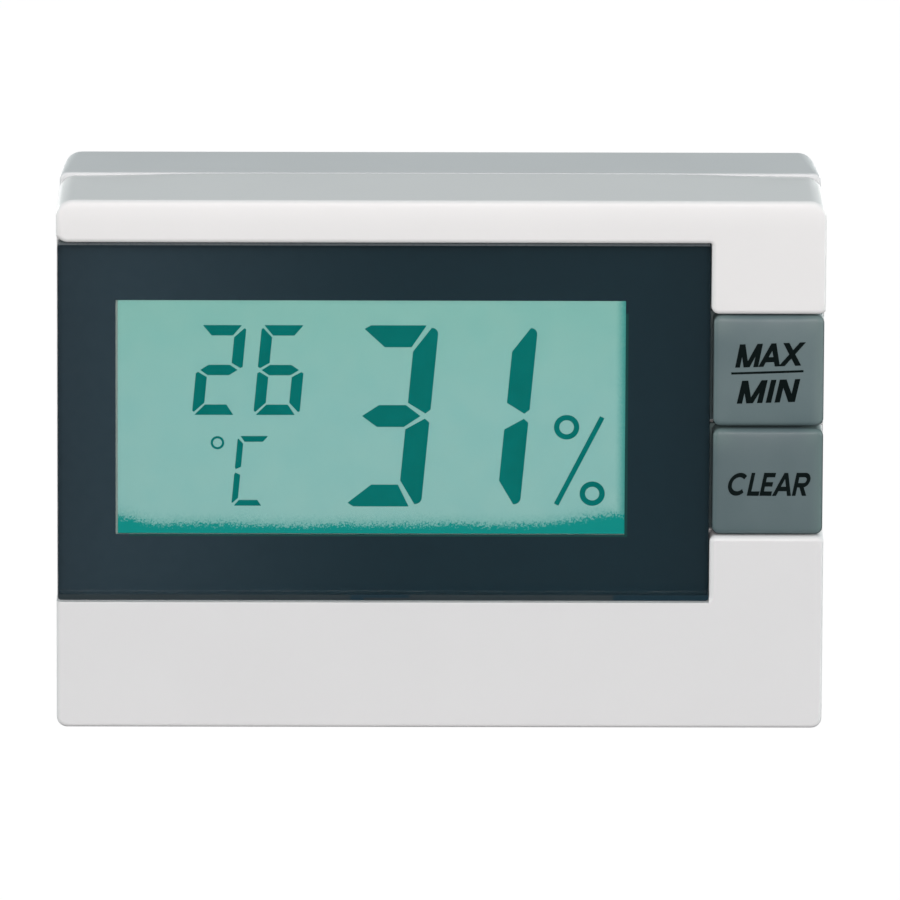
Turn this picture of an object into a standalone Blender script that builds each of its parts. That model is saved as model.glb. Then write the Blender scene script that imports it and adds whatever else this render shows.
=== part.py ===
"""Digital maximum-minimum thermometer and hygrometer, as an assembly of its separate pieces.

All sizes below are in millimetres and are turned into metres when a mesh is made (see MM).
The frame: +X to the user's right, +Y from the display to the back, +Z up, the object stands on z = 0.
"""

import math

import bmesh
import bpy
from mathutils import Matrix, Vector

MM = 0.001
MERGE = 0.00001
GAP = 0.15  # between pieces that touch in the real object

# Housing, the two moulded shells
WIDTH = 58.0
HEIGHT = 41.2
FRONT = -8.0
PARTING = 1.0
BACK = 8.0
WALL = 1.5
FRONT_DRAFT = 0.12
REAR_INSET_SIDE = 0.06
REAR_LEDGE_TOP = 0.06
REAR_TAPER_SIDE = 0.43
REAR_TAPER_TOP = 0.08
HALF = WIDTH / 2
INNER = HALF - WALL
CORNER = 1.0

# Display window, and the sunk band that holds it
WINDOW_LEFT, WINDOW_RIGHT = -28.9, 20.25
WINDOW_LOW, WINDOW_HIGH = 9.9, 37.8
WINDOW_FRONT = FRONT + 0.4
WINDOW_THICK = 1.5
WINDOW_BEVEL = 0.15
WINDOW_FIT = 0.1
BAND_FLOOR = -5.7
BAND_BACK = -4.6

# Display glass
GLASS_LEFT, GLASS_RIGHT = -26.2, 15.8
GLASS_LOW, GLASS_HIGH = 12.7, 34.7
CONTACT_LEDGE = 2.2
GLASS_THICK = 0.7
GLASS_FRONT = -5.6

# Circuit board
BOARD_FRONT = -1.0
BOARD_BACK = 0.2
BOARD_HALF = 27.0
BOARD_LOW, BOARD_HIGH = 2.6, 38.6

# Push buttons
BUTTON_LEFT, BUTTON_RIGHT = 20.55, 28.9
BUTTON_TRAVEL = 0.5
BUTTON_BACK = -5.75
NOTCH_FLOOR = BUTTON_BACK + BUTTON_TRAVEL + 0.2
NOTCH_BACK = NOTCH_FLOOR + 1.0
STEM = 3.0
STEM_END = -3.35
FOOT_HALF = 2.2
BUTTONS = {"max_min": (23.68, 32.3), "clear": (15.2, 23.48)}
BUTTON_FIT = 0.12
BUTTON_X = (BUTTON_LEFT + BUTTON_RIGHT) / 2

# Battery, its well and its bayonet cover, all about one axis along Y
BATTERY_X, BATTERY_Z = 18.6, 15.5
CELL_RADIUS = 5.8
CELL_FRONT, CELL_BACK = 1.35, 6.75
WELL_RADIUS = 6.15
COVER_RADIUS = 7.9
COVER_INNER = 6.95
RIM_INNER, RIM_OUTER = 6.0, 6.7
BORE_RADIUS = 6.9
LUG_RADIUS = 7.4
GROOVE_RADIUS = 7.6
LUG_SPAN = 24.0
ENTRY_SPAN = 34.0
COVER_TURN = 45.0

# Fold-out stand, hinged near its top
STAND_HALF = 8.9
STAND_LOW = 3.6
HINGE_Y, HINGE_Z = 7.0, 28.6
KNUCKLE = 1.0
STUB_RADIUS = 0.8
SOCKET_RADIUS = 0.92
RECESS_HALF = 9.2
RECESS_FLOOR = 5.8

# Fasteners
HOUSING_SCREWS = [(-25.7, 3.3), (25.7, 3.3), (-25.7, 37.9), (25.7, 37.9)]
BOARD_SCREWS = [(-15.0, 5.6), (15.0, 5.6), (19.3, 36.6)]

WHITE = (0.80, 0.80, 0.78)
GREY = (0.17, 0.20, 0.19)


def start():
    """Clears the scene and makes the two collections and the parent empty."""
    for old in list(bpy.data.objects):
        bpy.data.objects.remove(old)
    parts = bpy.data.collections.new("Thermometer")
    tools = bpy.data.collections.new("Cutters")
    for group in (parts, tools):
        bpy.context.scene.collection.children.link(group)
    root = bpy.data.objects.new("thermometer", None)
    parts.objects.link(root)
    return parts, tools, root


PARTS, TOOLS, ROOT = start()


def material(name, colour, roughness, metallic=0.0):
    """A Principled material of one colour."""
    made = bpy.data.materials.new(name)
    made.use_nodes = True
    shader = made.node_tree.nodes["Principled BSDF"]
    shader.inputs["Base Color"].default_value = (*colour, 1.0)
    shader.inputs["Roughness"].default_value = roughness
    shader.inputs["Metallic"].default_value = metallic
    return made


def finish_mesh(name, shape):
    """Turns a bmesh in millimetres into a mesh in metres, with its normals facing out."""
    bmesh.ops.recalc_face_normals(shape, faces=shape.faces)
    bmesh.ops.scale(shape, vec=(MM, MM, MM), verts=shape.verts)
    mesh = bpy.data.meshes.new(name)
    shape.to_mesh(mesh)
    shape.free()
    return mesh


def part(name, mesh, finish, origin=None):
    """A named piece of the object. An origin, in millimetres, puts its axis there."""
    made = bpy.data.objects.new(name, mesh)
    mesh.materials.append(finish)
    PARTS.objects.link(made)
    made.parent = ROOT
    if origin:
        place = Vector(origin) * MM
        mesh.transform(Matrix.Translation(-place))
        made.location = place
    mesh.shade_smooth()
    mesh.set_sharp_from_angle(angle=math.radians(35))
    return made


def helper(target, mesh, operation):
    """A hidden body that a Boolean on target adds or takes away."""
    tool = bpy.data.objects.new(f"{target.name}_{operation.lower()}_{len(TOOLS.objects)}", mesh)
    TOOLS.objects.link(tool)
    tool.hide_render = True
    tool.display_type = "WIRE"
    step = target.modifiers.new(tool.name, "BOOLEAN")
    step.solver = "EXACT"
    step.operation = operation
    step.object = tool


def cut(target, *meshes):
    for mesh in meshes:
        helper(target, mesh, "DIFFERENCE")


def join(target, *meshes):
    for mesh in meshes:
        helper(target, mesh, "UNION")


def prism(name, front, back, y0, y1, corner=0.0, front_rim=0.0, back_rim=0.0, steps=3):
    """A block between y0 and y1. front and back are (low x, low z, high x, high z) there."""
    shape = bmesh.new()
    bmesh.ops.create_cube(shape, size=2.0)
    for vert in shape.verts:
        at_front = vert.co.y < 0
        low_x, low_z, high_x, high_z = front if at_front else back
        vert.co = Vector((
            low_x if vert.co.x < 0 else high_x,
            y0 if at_front else y1,
            low_z if vert.co.z < 0 else high_z,
        ))
    middle = (y0 + y1) / 2

    def round_edges(chosen, radius):
        bmesh.ops.bevel(shape, geom=chosen, offset=radius, offset_type="OFFSET", segments=steps,
                        profile=0.5, affect="EDGES", clamp_overlap=True)

    if corner:
        along = [e for e in shape.edges if (e.verts[0].co.y - middle) * (e.verts[1].co.y - middle) < 0]
        round_edges(along, corner)
    for y, rim in ((y0, front_rim), (y1, back_rim)):
        if rim:
            ring = [e for e in shape.edges if all(abs(v.co.y - y) < 1e-4 for v in e.verts)]
            round_edges(ring, rim)
    return finish_mesh(name, shape)


def block(name, low, high, corner=0.0, rim=0.0, steps=2):
    """A straight block between two opposite corners."""
    face = (low[0], low[2], high[0], high[2])
    return prism(name, face, face, low[1], high[1], corner, rim, rim, steps)


def rod(name, x, z, radius, y0, y1, sides=24):
    """A cylinder along Y from y0 to y1."""
    shape = bmesh.new()
    bmesh.ops.create_cone(shape, cap_ends=True, segments=sides, radius1=radius, radius2=radius, depth=y1 - y0)
    bmesh.ops.rotate(shape, verts=shape.verts, cent=(0, 0, 0), matrix=Matrix.Rotation(-math.pi / 2, 3, "X"))
    bmesh.ops.translate(shape, verts=shape.verts, vec=(x, (y0 + y1) / 2, z))
    return finish_mesh(name, shape)


def axle(name, y, z, radius, x0, x1, sides=20):
    """A cylinder along X from x0 to x1."""
    shape = bmesh.new()
    bmesh.ops.create_cone(shape, cap_ends=True, segments=sides, radius1=radius, radius2=radius, depth=x1 - x0)
    bmesh.ops.rotate(shape, verts=shape.verts, cent=(0, 0, 0), matrix=Matrix.Rotation(math.pi / 2, 3, "Y"))
    bmesh.ops.translate(shape, verts=shape.verts, vec=((x0 + x1) / 2, y, z))
    return finish_mesh(name, shape)


def slab(name, outline, axis, low, high):
    """A flat outline, as (u, v) points, extruded along an axis. (u, v) is (y, z) on X and (x, z) on Y."""
    shape = bmesh.new()
    if axis == "X":
        ring = [shape.verts.new((low, u, v)) for u, v in outline]
        push = Vector((high - low, 0, 0))
    else:
        ring = [shape.verts.new((u, low, v)) for u, v in outline]
        push = Vector((0, high - low, 0))
    face = shape.faces.new(ring)
    grown = bmesh.ops.extrude_face_region(shape, geom=[face])
    moved = [item for item in grown["geom"] if isinstance(item, bmesh.types.BMVert)]
    bmesh.ops.translate(shape, verts=moved, vec=push)
    return finish_mesh(name, shape)


def arc(x, z, radius, start, end, steps):
    """Points of an arc, angles in degrees from +X towards +Z."""
    turns = [math.radians(start + (end - start) * i / steps) for i in range(steps + 1)]
    return [(x + radius * math.cos(t), z + radius * math.sin(t)) for t in turns]


def ring_sector(name, inner, outer, start, end, y0, y1, steps=4):
    """A piece of a ring about the battery's axis."""
    outline = arc(BATTERY_X, BATTERY_Z, outer, start, end, steps)
    outline += arc(BATTERY_X, BATTERY_Z, inner, end, start, steps)
    return slab(name, outline, "Y", y0, y1)


def turned(name, profile, finish, x, z, steps=24):
    """A turned piece on an axis along Y: profile is (radius, y), from its outer end inwards along +Y."""
    shape = bmesh.new()
    points = [shape.verts.new((radius * MM, 0.0, -y * MM)) for radius, y in profile]
    for first, second in zip(points, points[1:]):
        shape.edges.new((first, second))
    mesh = bpy.data.meshes.new(name)
    shape.to_mesh(mesh)
    shape.free()
    made = bpy.data.objects.new(name, mesh)
    mesh.materials.append(finish)
    PARTS.objects.link(made)
    made.parent = ROOT
    made.location = (x * MM, 0.0, z * MM)
    made.rotation_euler = (math.pi / 2, 0.0, 0.0)
    screw = made.modifiers.new("Turn", "SCREW")
    screw.axis = "Z"
    screw.steps = steps
    screw.render_steps = steps
    screw.use_merge_vertices = True
    screw.merge_threshold = MERGE
    screw.use_smooth_shade = True
    return made


def front_housing(finish):
    """Front shell: sunk band for the window, open notch for the buttons, bosses for all screws."""
    face = (-HALF, 0.0, HALF, HEIGHT)
    draft = FRONT_DRAFT
    edge = (-HALF + draft, 0.0, HALF - draft, HEIGHT - draft)
    shell = part("front_housing",
                 prism("front_housing", face, edge, FRONT, PARTING - 0.03, CORNER, front_rim=0.3), finish)
    cut(shell,
        block("room", (-INNER, NOTCH_BACK, WALL), (INNER, PARTING + 2, HEIGHT - WALL)),
        block("room_glass", (-INNER, BAND_BACK, WALL), (19.6, NOTCH_BACK + 0.4, HEIGHT - WALL)),
        block("room_low", (-INNER, FRONT + WALL, WALL), (INNER, NOTCH_BACK + 0.3, 8.6)),
        block("room_corner", (21.9, FRONT + WALL, 34.25), (INNER, NOTCH_BACK + 0.3, HEIGHT - WALL)))
    for x, z in HOUSING_SCREWS:
        behind_window = x < 0 and z > WINDOW_LOW
        start_y = BAND_FLOOR + 0.5 if behind_window else FRONT + 1.0
        join(shell, rod("boss", x, z, 1.95, start_y, PARTING - 0.05, 20))
    for x, z in BOARD_SCREWS:
        start_y = FRONT + 1.0 if z < WINDOW_LOW else BAND_FLOOR + 0.6
        join(shell, rod("board_boss", x, z, 1.7, start_y, BOARD_FRONT - GAP, 16))
    cut(shell,
        block("band", (-HALF - 1, FRONT - 1, WINDOW_LOW - WINDOW_FIT),
              (WINDOW_RIGHT + WINDOW_FIT, BAND_FLOOR, WINDOW_HIGH + WINDOW_FIT)),
        block("opening", (GLASS_LEFT - 0.5, BAND_FLOOR - 1, GLASS_LOW - 0.3),
              (GLASS_RIGHT + 0.5, BAND_BACK + 1, GLASS_HIGH + 0.4)),
        block("notch", (WINDOW_RIGHT - 0.2, FRONT - 1, BUTTONS["clear"][0] - BUTTON_FIT),
              (HALF + 1, NOTCH_FLOOR, BUTTONS["max_min"][1] + BUTTON_FIT), corner=0.5))
    for low, high in BUTTONS.values():
        hole = STEM / 2 + 0.2
        middle = (low + high) / 2
        cut(shell, block("stem_hole", (BUTTON_X - hole, NOTCH_FLOOR - 1, middle - hole),
                         (BUTTON_X + hole, NOTCH_BACK + 1, middle + hole)))
    for x, z in HOUSING_SCREWS:
        cut(shell, rod("pilot", x, z, 1.1, -3.2, PARTING + 1, 16))
    for x, z in BOARD_SCREWS:
        cut(shell, rod("board_pilot", x, z, 0.8, -4.2, BOARD_FRONT + 1, 12))
    return shell


def rear_housing(finish):
    """Rear shell: lip, screw posts, stand recess, battery well and vents."""
    side = HALF - FRONT_DRAFT - REAR_INSET_SIDE
    top = HEIGHT - FRONT_DRAFT + REAR_LEDGE_TOP
    face = (-side, 0.0, side, top)
    edge = (-HALF + REAR_TAPER_SIDE, 0.0, HALF - REAR_TAPER_SIDE, HEIGHT - REAR_TAPER_TOP)
    shell = part("rear_housing",
                 prism("rear_housing", face, edge, PARTING + 0.03, BACK, CORNER, 0.0, 0.6), finish)
    cut(shell, block("room", (-INNER, PARTING - 1, WALL), (INNER, BACK - WALL, HEIGHT - WALL - 0.3)))
    for x, z in HOUSING_SCREWS:
        join(shell, rod("post", x, z, 2.55, PARTING + 0.05, BACK - 1, 24))
    for low, high in (((-20, 1.75), (20, 2.5)), ((-20, 38.7), (14, 39.5)),
                      ((-27.2, 8), (-26.4, 34)), ((26.4, 24.5), (27.2, 34))):
        join(shell, block("lip", (low[0], PARTING - 0.6, low[1]), (high[0], PARTING + 1, high[1])))
    for x0, z0, x1, z1 in ((-20, 0.8, 20, 2.5), (-20, 38.7, 14, 40.2),
                           (-28, 8, -26.4, 34), (26.4, 24.5, 28, 34)):
        join(shell, block("lip_root", (x0, PARTING + 0.5, z0), (x1, PARTING + 1.6, z1)))
    join(shell,
         block("tray", (-RECESS_HALF - 1.2, RECESS_FLOOR - 1.2, 0.9), (RECESS_HALF + 1.2, BACK - 1, 31.8)),
         rod("seat", BATTERY_X, BATTERY_Z, 9.2, 4.4, BACK - 1, 40),
         rod("well", BATTERY_X, BATTERY_Z, WELL_RADIUS + 1.15, 1.35, BACK - 2, 40))
    cut(shell,
        rod("well_bore", BATTERY_X, BATTERY_Z, WELL_RADIUS, 0.0, BACK + 1, 40),
        rod("rim_bore", BATTERY_X, BATTERY_Z, BORE_RADIUS, 4.95, BACK + 1, 40),
        rod("groove", BATTERY_X, BATTERY_Z, GROOVE_RADIUS, 4.95, 6.05, 40),
        rod("cover_seat", BATTERY_X, BATTERY_Z, COVER_RADIUS + 0.15, COVER_INNER - 0.1, BACK + 1, 48),
        block("contact_slot", (BATTERY_X - 1.8, 0.5, BATTERY_Z + 5.0),
              (BATTERY_X + 1.8, 4.4, BATTERY_Z + 8.5)))
    for side_angle in (0, 180):
        middle = side_angle + COVER_TURN
        cut(shell, ring_sector("entry", BORE_RADIUS - 0.8, GROOVE_RADIUS, middle - ENTRY_SPAN / 2,
                               middle + ENTRY_SPAN / 2, 5.5, BACK + 1))
    cut(shell,
        block("stand_recess", (-RECESS_HALF, RECESS_FLOOR, 3.0), (RECESS_HALF, BACK + 1, 30.5)),
        axle("sockets", HINGE_Y, HINGE_Z, SOCKET_RADIUS, -RECESS_HALF - 0.8, RECESS_HALF + 0.8),
        rod("finger_scoop", 0.0, 4.2, 2.8, 6.3, BACK + 1, 32))
    for row in range(6):
        z = 9.4 + 2.6 * row
        cut(shell, block("vent", (-25.0, BACK - 2.5, z), (-12.5, BACK + 1, z + 1.2)))
    for x, z in HOUSING_SCREWS:
        cut(shell, rod("screw_hole", x, z, 1.2, PARTING - 1, BACK, 16))
        cut(shell, rod("head_hole", x, z, 2.0, 4.6, BACK + 1, 24))
    return shell


def display_window(finish):
    face = (WINDOW_LEFT, WINDOW_LOW, WINDOW_RIGHT, WINDOW_HIGH)
    return part("display_window",
                prism("display_window", face, face, WINDOW_FRONT, WINDOW_FRONT + WINDOW_THICK,
                      corner=0.25, front_rim=WINDOW_BEVEL, steps=1), finish)


def window_adhesive(finish):
    frame = part("window_adhesive",
                 block("window_adhesive", (WINDOW_LEFT + 0.4, -6.0, WINDOW_LOW + 0.3),
                       (WINDOW_RIGHT - 0.3, -5.8, WINDOW_HIGH - 0.3)), finish)
    cut(frame, block("window_hole", (GLASS_LEFT - 0.4, -7, GLASS_LOW - 0.2),
                     (GLASS_RIGHT + 0.4, -5, GLASS_HIGH + 0.3)))
    return frame


def display_stack(polariser, glass, reflector):
    """Front polariser, the two glasses and the reflector, front to back."""
    part("lcd_front_polariser",
         block("lcd_front_polariser", (-24.25, GLASS_FRONT - 0.25, 14.75), (14.9, GLASS_FRONT - 0.05, 34.2)),
         polariser)
    part("lcd_front_glass",
         block("lcd_front_glass", (GLASS_LEFT, GLASS_FRONT, GLASS_LOW),
               (GLASS_RIGHT, GLASS_FRONT + GLASS_THICK, GLASS_HIGH)), glass)
    rear_front = GLASS_FRONT + GLASS_THICK + 0.05
    rear_back = rear_front + GLASS_THICK
    part("lcd_rear_glass",
         block("lcd_rear_glass", (GLASS_LEFT, rear_front, GLASS_LOW + CONTACT_LEDGE),
               (GLASS_RIGHT, rear_back, GLASS_HIGH)), glass)
    part("lcd_reflector",
         block("lcd_reflector", (GLASS_LEFT + 0.6, rear_back + 0.05, GLASS_LOW + CONTACT_LEDGE + 0.4),
               (GLASS_RIGHT - 0.6, rear_back + 0.25, GLASS_HIGH - 0.4)), reflector)


def lcd_holder(finish):
    """Frame behind the shell that backs the glass and guides the connector strip."""
    holder = part("lcd_holder",
                  block("lcd_holder", (GLASS_LEFT - 1.0, -4.45, GLASS_LOW - 1.1),
                        (GLASS_RIGHT + 1.0, BOARD_FRONT - GAP, GLASS_HIGH + 0.9)), finish)
    cut(holder,
        block("glass_pocket", (GLASS_LEFT - 0.2, -6, GLASS_LOW - 0.2),
              (GLASS_RIGHT + 0.2, -3.75, GLASS_HIGH + 0.2)),
        block("back_window", (GLASS_LEFT + 1.4, -6, GLASS_LOW + 3.6),
              (GLASS_RIGHT - 1.4, 0, GLASS_HIGH - 1.0)),
        block("strip_slot", (GLASS_LEFT + 0.5, -6, GLASS_LOW), (GLASS_RIGHT - 0.5, 0, GLASS_LOW + 2.0)))
    return holder


def zebra_strip(finish):
    front = GLASS_FRONT + GLASS_THICK + 0.05
    return part("zebra_strip",
                block("zebra_strip", (GLASS_LEFT + 0.7, front, GLASS_LOW + 0.15),
                      (GLASS_RIGHT - 0.7, BOARD_FRONT - 0.05, GLASS_LOW + 1.85), rim=0.15, steps=1), finish)


def board(finish):
    """Circuit board, notched at its corners for the housing's bosses."""
    made = part("pcb", block("pcb", (-BOARD_HALF, BOARD_FRONT, BOARD_LOW),
                             (BOARD_HALF, BOARD_BACK, BOARD_HIGH)), finish)
    for x, z in HOUSING_SCREWS:
        side = math.copysign(1, x)
        low_x, high_x = sorted((side * 23.3, side * (BOARD_HALF + 1)))
        low_z, high_z = (BOARD_LOW - 1, 5.8) if z < HEIGHT / 2 else (35.4, BOARD_HIGH + 1)
        cut(made, block("corner_notch", (low_x, -2, low_z), (high_x, 1, high_z)))
    for x, z in BOARD_SCREWS:
        cut(made, rod("board_hole", x, z, 0.95, -2, 1, 16))
    return made


def button(name, low, high, finish):
    """A solid cap with a square stem that ends in a retaining foot behind the housing's floor."""
    middle = (low + high) / 2
    face = (BUTTON_LEFT, low, BUTTON_RIGHT, high)
    cap = part(name, prism(name, face, face, FRONT, BUTTON_BACK, corner=0.6, front_rim=0.4, steps=3),
               finish, origin=(BUTTON_X, FRONT, middle))
    half = STEM / 2
    join(cap,
         block("stem", (BUTTON_X - half, BUTTON_BACK - 0.5, middle - half),
               (BUTTON_X + half, STEM_END, middle + half)),
         block("foot", (BUTTON_X - half, NOTCH_BACK + 0.1, middle - FOOT_HALF),
               (BUTTON_X + half, STEM_END, middle + FOOT_HALF)))
    return cap


def switch(suffix, middle, body_finish, plunger_finish):
    """Tactile switch under a button: its body on the board, and its plunger that moves with the button."""
    size = 2.0
    back = BOARD_FRONT - 0.05
    body = part(f"switch_{suffix}",
                block(f"switch_{suffix}", (BUTTON_X - size, back - 1.6, middle - size),
                      (BUTTON_X + size, back, middle + size), corner=0.3, steps=1), body_finish)
    cut(body, rod("plunger_bore", BUTTON_X, middle, 1.15, back - 2, back - 0.3, 20))
    plunger = part(f"plunger_{suffix}",
                   rod(f"plunger_{suffix}", BUTTON_X, middle, 0.95, STEM_END + 0.1, back - 0.85, 20),
                   plunger_finish, origin=(BUTTON_X, STEM_END, middle))
    return body, plunger


def battery_cell(finish):
    """Button cell: can behind, smaller negative cap towards the board."""
    cap = 4.9
    profile = [(0.0, CELL_FRONT), (cap - 0.3, CELL_FRONT), (cap, CELL_FRONT + 0.3), (cap, CELL_FRONT + 0.55),
               (CELL_RADIUS - 0.3, CELL_FRONT + 0.6), (CELL_RADIUS, CELL_FRONT + 0.9),
               (CELL_RADIUS, CELL_BACK - 0.3), (CELL_RADIUS - 0.3, CELL_BACK), (0.0, CELL_BACK)]
    return turned("battery_cell", profile, finish, BATTERY_X, BATTERY_Z, steps=36)


def battery_contacts(finish):
    """A side strip on the can, and a leaf under the cap."""
    half = 1.5
    foot = BOARD_BACK + 0.05
    can = BATTERY_Z + CELL_RADIUS
    side = part("battery_contact_positive",
                block("battery_contact_positive", (BATTERY_X - half, foot, can + 0.15),
                      (BATTERY_X + half, 4.2, can + 0.4)), finish)
    join(side, block("solder_foot", (BATTERY_X - half, foot, can + 0.15),
                     (BATTERY_X + half, foot + 0.25, can + 3.2)))
    thick = 0.15
    line = [(-4.0, foot), (-1.6, foot), (0.8, foot + 0.75), (2.0, foot + 0.85), (3.2, foot + 0.5)]
    outline = [(BATTERY_X + x, y) for x, y in line] + [(BATTERY_X + x, y + thick) for x, y in reversed(line)]
    shape = bmesh.new()
    face = shape.faces.new([shape.verts.new((x, y, BATTERY_Z - half)) for x, y in outline])
    grown = bmesh.ops.extrude_face_region(shape, geom=[face])
    moved = [item for item in grown["geom"] if isinstance(item, bmesh.types.BMVert)]
    bmesh.ops.translate(shape, verts=moved, vec=(0, 0, 2 * half))
    leaf = part("battery_contact_negative", finish_mesh("battery_contact_negative", shape), finish)
    return side, leaf


def battery_cover(finish):
    """Round cover with a coin slot, and a rim whose two lugs lock under the housing."""
    cover = part("battery_cover",
                 rod("battery_cover", BATTERY_X, BATTERY_Z, COVER_RADIUS, COVER_INNER, BACK - 0.1, 48),
                 finish, origin=(BATTERY_X, BACK, BATTERY_Z))
    join(cover, rod("rim", BATTERY_X, BATTERY_Z, RIM_OUTER, 5.1, COVER_INNER + 0.3, 40))
    for side_angle in (0, 180):
        join(cover, ring_sector("lug", RIM_OUTER - 0.3, LUG_RADIUS, side_angle - LUG_SPAN / 2,
                                side_angle + LUG_SPAN / 2, 5.1, 5.9))
    cut(cover,
        rod("rim_hollow", BATTERY_X, BATTERY_Z, RIM_INNER, 4.0, COVER_INNER, 40),
        block("coin_slot", (BATTERY_X - 5.0, BACK - 0.75, BATTERY_Z - 0.8),
              (BATTERY_X + 5.0, BACK + 1, BATTERY_Z + 0.8), corner=0.5, steps=2))
    return cover


def stand_leg(finish):
    """Plate that folds flat into the back, with a round knuckle and two hinge stubs."""
    back = 7.75
    front = 6.15
    knuckle = arc(HINGE_Y, HINGE_Z, KNUCKLE, 50, 180, 8)
    outline = [(back, STAND_LOW + 0.6), (back, HINGE_Z - 1.6), *knuckle, (6.0, HINGE_Z - 0.8),
               (front, HINGE_Z - 2.0), (front, STAND_LOW), (back - 0.6, STAND_LOW)]
    leg = part("stand_leg", slab("stand_leg", outline, "X", -STAND_HALF, STAND_HALF),
               finish, origin=(0.0, HINGE_Y, HINGE_Z))
    join(leg, axle("stubs", HINGE_Y, HINGE_Z, STUB_RADIUS, -RECESS_HALF - 0.6, RECESS_HALF + 0.6))
    for z in (9.0, 11.2, 13.4):
        cut(leg, block("grip_groove", (-5.0, back - 0.35, z), (5.0, back + 1, z + 1.0)))
    return leg


def screw(name, x, z, head_radius, head_y, head_tall, shank_radius, tip_y, finish):
    """Self-tapping screw with a domed head and a cross recess, its head towards the back."""
    profile = [(0.0, tip_y), (shank_radius * 0.45, tip_y + 0.1), (shank_radius, tip_y + 0.9),
               (shank_radius, head_y), (head_radius, head_y), (head_radius, head_y + head_tall * 0.5),
               (head_radius * 0.7, head_y + head_tall), (0.0, head_y + head_tall)]
    made = turned(name, profile, finish, x, z, steps=16)
    arm, width = head_radius * 0.55, head_radius * 0.16
    depth = head_y + head_tall * 0.5
    cut(made,
        block("cross_a", (x - arm, depth, z - width), (x + arm, head_y + 3, z + width)),
        block("cross_b", (x - width, depth, z - arm), (x + width, head_y + 3, z + arm)))
    return made


def components(white, dark, metal, ceramic, body):
    """Everything soldered or potted on the back of the board."""
    on_board = BOARD_BACK + 0.05
    blob = [(0.0, on_board), (4.5, on_board)]
    blob += [(4.5 * math.cos(t), on_board + 1.1 * math.sin(t)) for t in
             (math.radians(18 * i) for i in range(1, 5))]
    blob.append((0.0, on_board + 1.1))
    turned("cob_chip", blob, dark, -1.0, 20.5, steps=24)

    part("crystal", axle("crystal", on_board + 1.0, 31.5, 1.0, -18.0, -12.0), metal)
    for name, x, tall, finish in (("capacitor_1", -8.0, 1.2, ceramic), ("capacitor_2", -4.0, 1.2, ceramic),
                                  ("resistor_1", 0.5, 0.6, dark), ("resistor_2", 4.5, 0.6, dark)):
        part(name, block(name, (x, on_board, 30.6), (x + 3.2, on_board + tall, 32.2)), finish)

    cage = part("humidity_sensor", block("humidity_sensor", (-22.5, on_board, 10.5), (-14.5, 2.6, 21.5),
                                         corner=0.5), white)
    for row in range(5):
        z = 12.0 + 1.8 * row
        cut(cage, block("cage_slot", (-21.3, 1.4, z), (-15.7, 4.0, z + 0.9)))

    bead = part("thermistor", rod("thermistor", -24.0, 26.0, 0.55, 1.7, 3.1, 12), body)
    for side in (-1, 1):
        join(bead, rod("lead", -24.0 + side * 0.3, 26.0, 0.15, on_board, 2.0, 8))


def build():
    abs_white = material("abs_white", WHITE, 0.42)
    abs_inner = material("abs_natural", (0.72, 0.72, 0.70), 0.5)
    abs_grey = material("abs_grey", GREY, 0.45)
    acrylic = material("acrylic_dark", (0.012, 0.026, 0.034), 0.08)
    adhesive = material("adhesive_black", (0.01, 0.01, 0.01), 0.8)
    polariser = material("polariser_green", (0.30, 0.52, 0.46), 0.3)
    glass = material("glass_clear", (0.75, 0.85, 0.82), 0.05)
    reflector = material("reflector_silver", (0.55, 0.66, 0.60), 0.35, 0.6)
    rubber = material("elastomer", (0.35, 0.36, 0.38), 0.7)
    fibreglass = material("board_green", (0.02, 0.16, 0.06), 0.4)
    epoxy = material("epoxy_black", (0.01, 0.01, 0.012), 0.3)
    steel = material("steel", (0.62, 0.62, 0.60), 0.3, 1.0)
    tin = material("spring_steel", (0.72, 0.70, 0.64), 0.28, 1.0)
    ceramic = material("ceramic_tan", (0.50, 0.36, 0.22), 0.5)
    ptc = material("resin_green", (0.05, 0.22, 0.14), 0.35)

    front_housing(abs_white)
    rear_housing(abs_white)
    display_window(acrylic)
    window_adhesive(adhesive)
    display_stack(polariser, glass, reflector)
    lcd_holder(abs_inner)
    zebra_strip(rubber)
    board(fibreglass)
    components(abs_inner, epoxy, steel, ceramic, ptc)

    for suffix, (low, high) in BUTTONS.items():
        cap = button(f"button_{suffix}", low, high, abs_grey)
        _, plunger = switch(suffix, (low + high) / 2, epoxy, abs_inner)
        plunger.parent = cap
        plunger.matrix_parent_inverse = Matrix.Translation(-cap.location)

    battery_cell(steel)
    battery_contacts(tin)
    battery_cover(abs_white)
    stand_leg(abs_white)
    for number, (x, z) in enumerate(HOUSING_SCREWS, 1):
        screw(f"housing_screw_{number}", x, z, 1.8, 4.65, 1.2, 0.95, -2.4, steel)
    for number, (x, z) in enumerate(BOARD_SCREWS, 1):
        screw(f"pcb_screw_{number}", x, z, 1.4, BOARD_BACK + 0.05, 0.8, 0.65, -3.4, steel)


build()
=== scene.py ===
"""Looks of the digital maximum-minimum thermometer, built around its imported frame.

Sizes in this file are millimetres and are turned into metres when a mesh is made (see MM).
+X is the user's right, +Y points from the display to the back, and the object stands on z = 0.
"""
from math import atan2, ceil, cos, pi, radians, sin, tan

import bmesh
import bpy
from mathutils import Matrix, Vector


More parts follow.
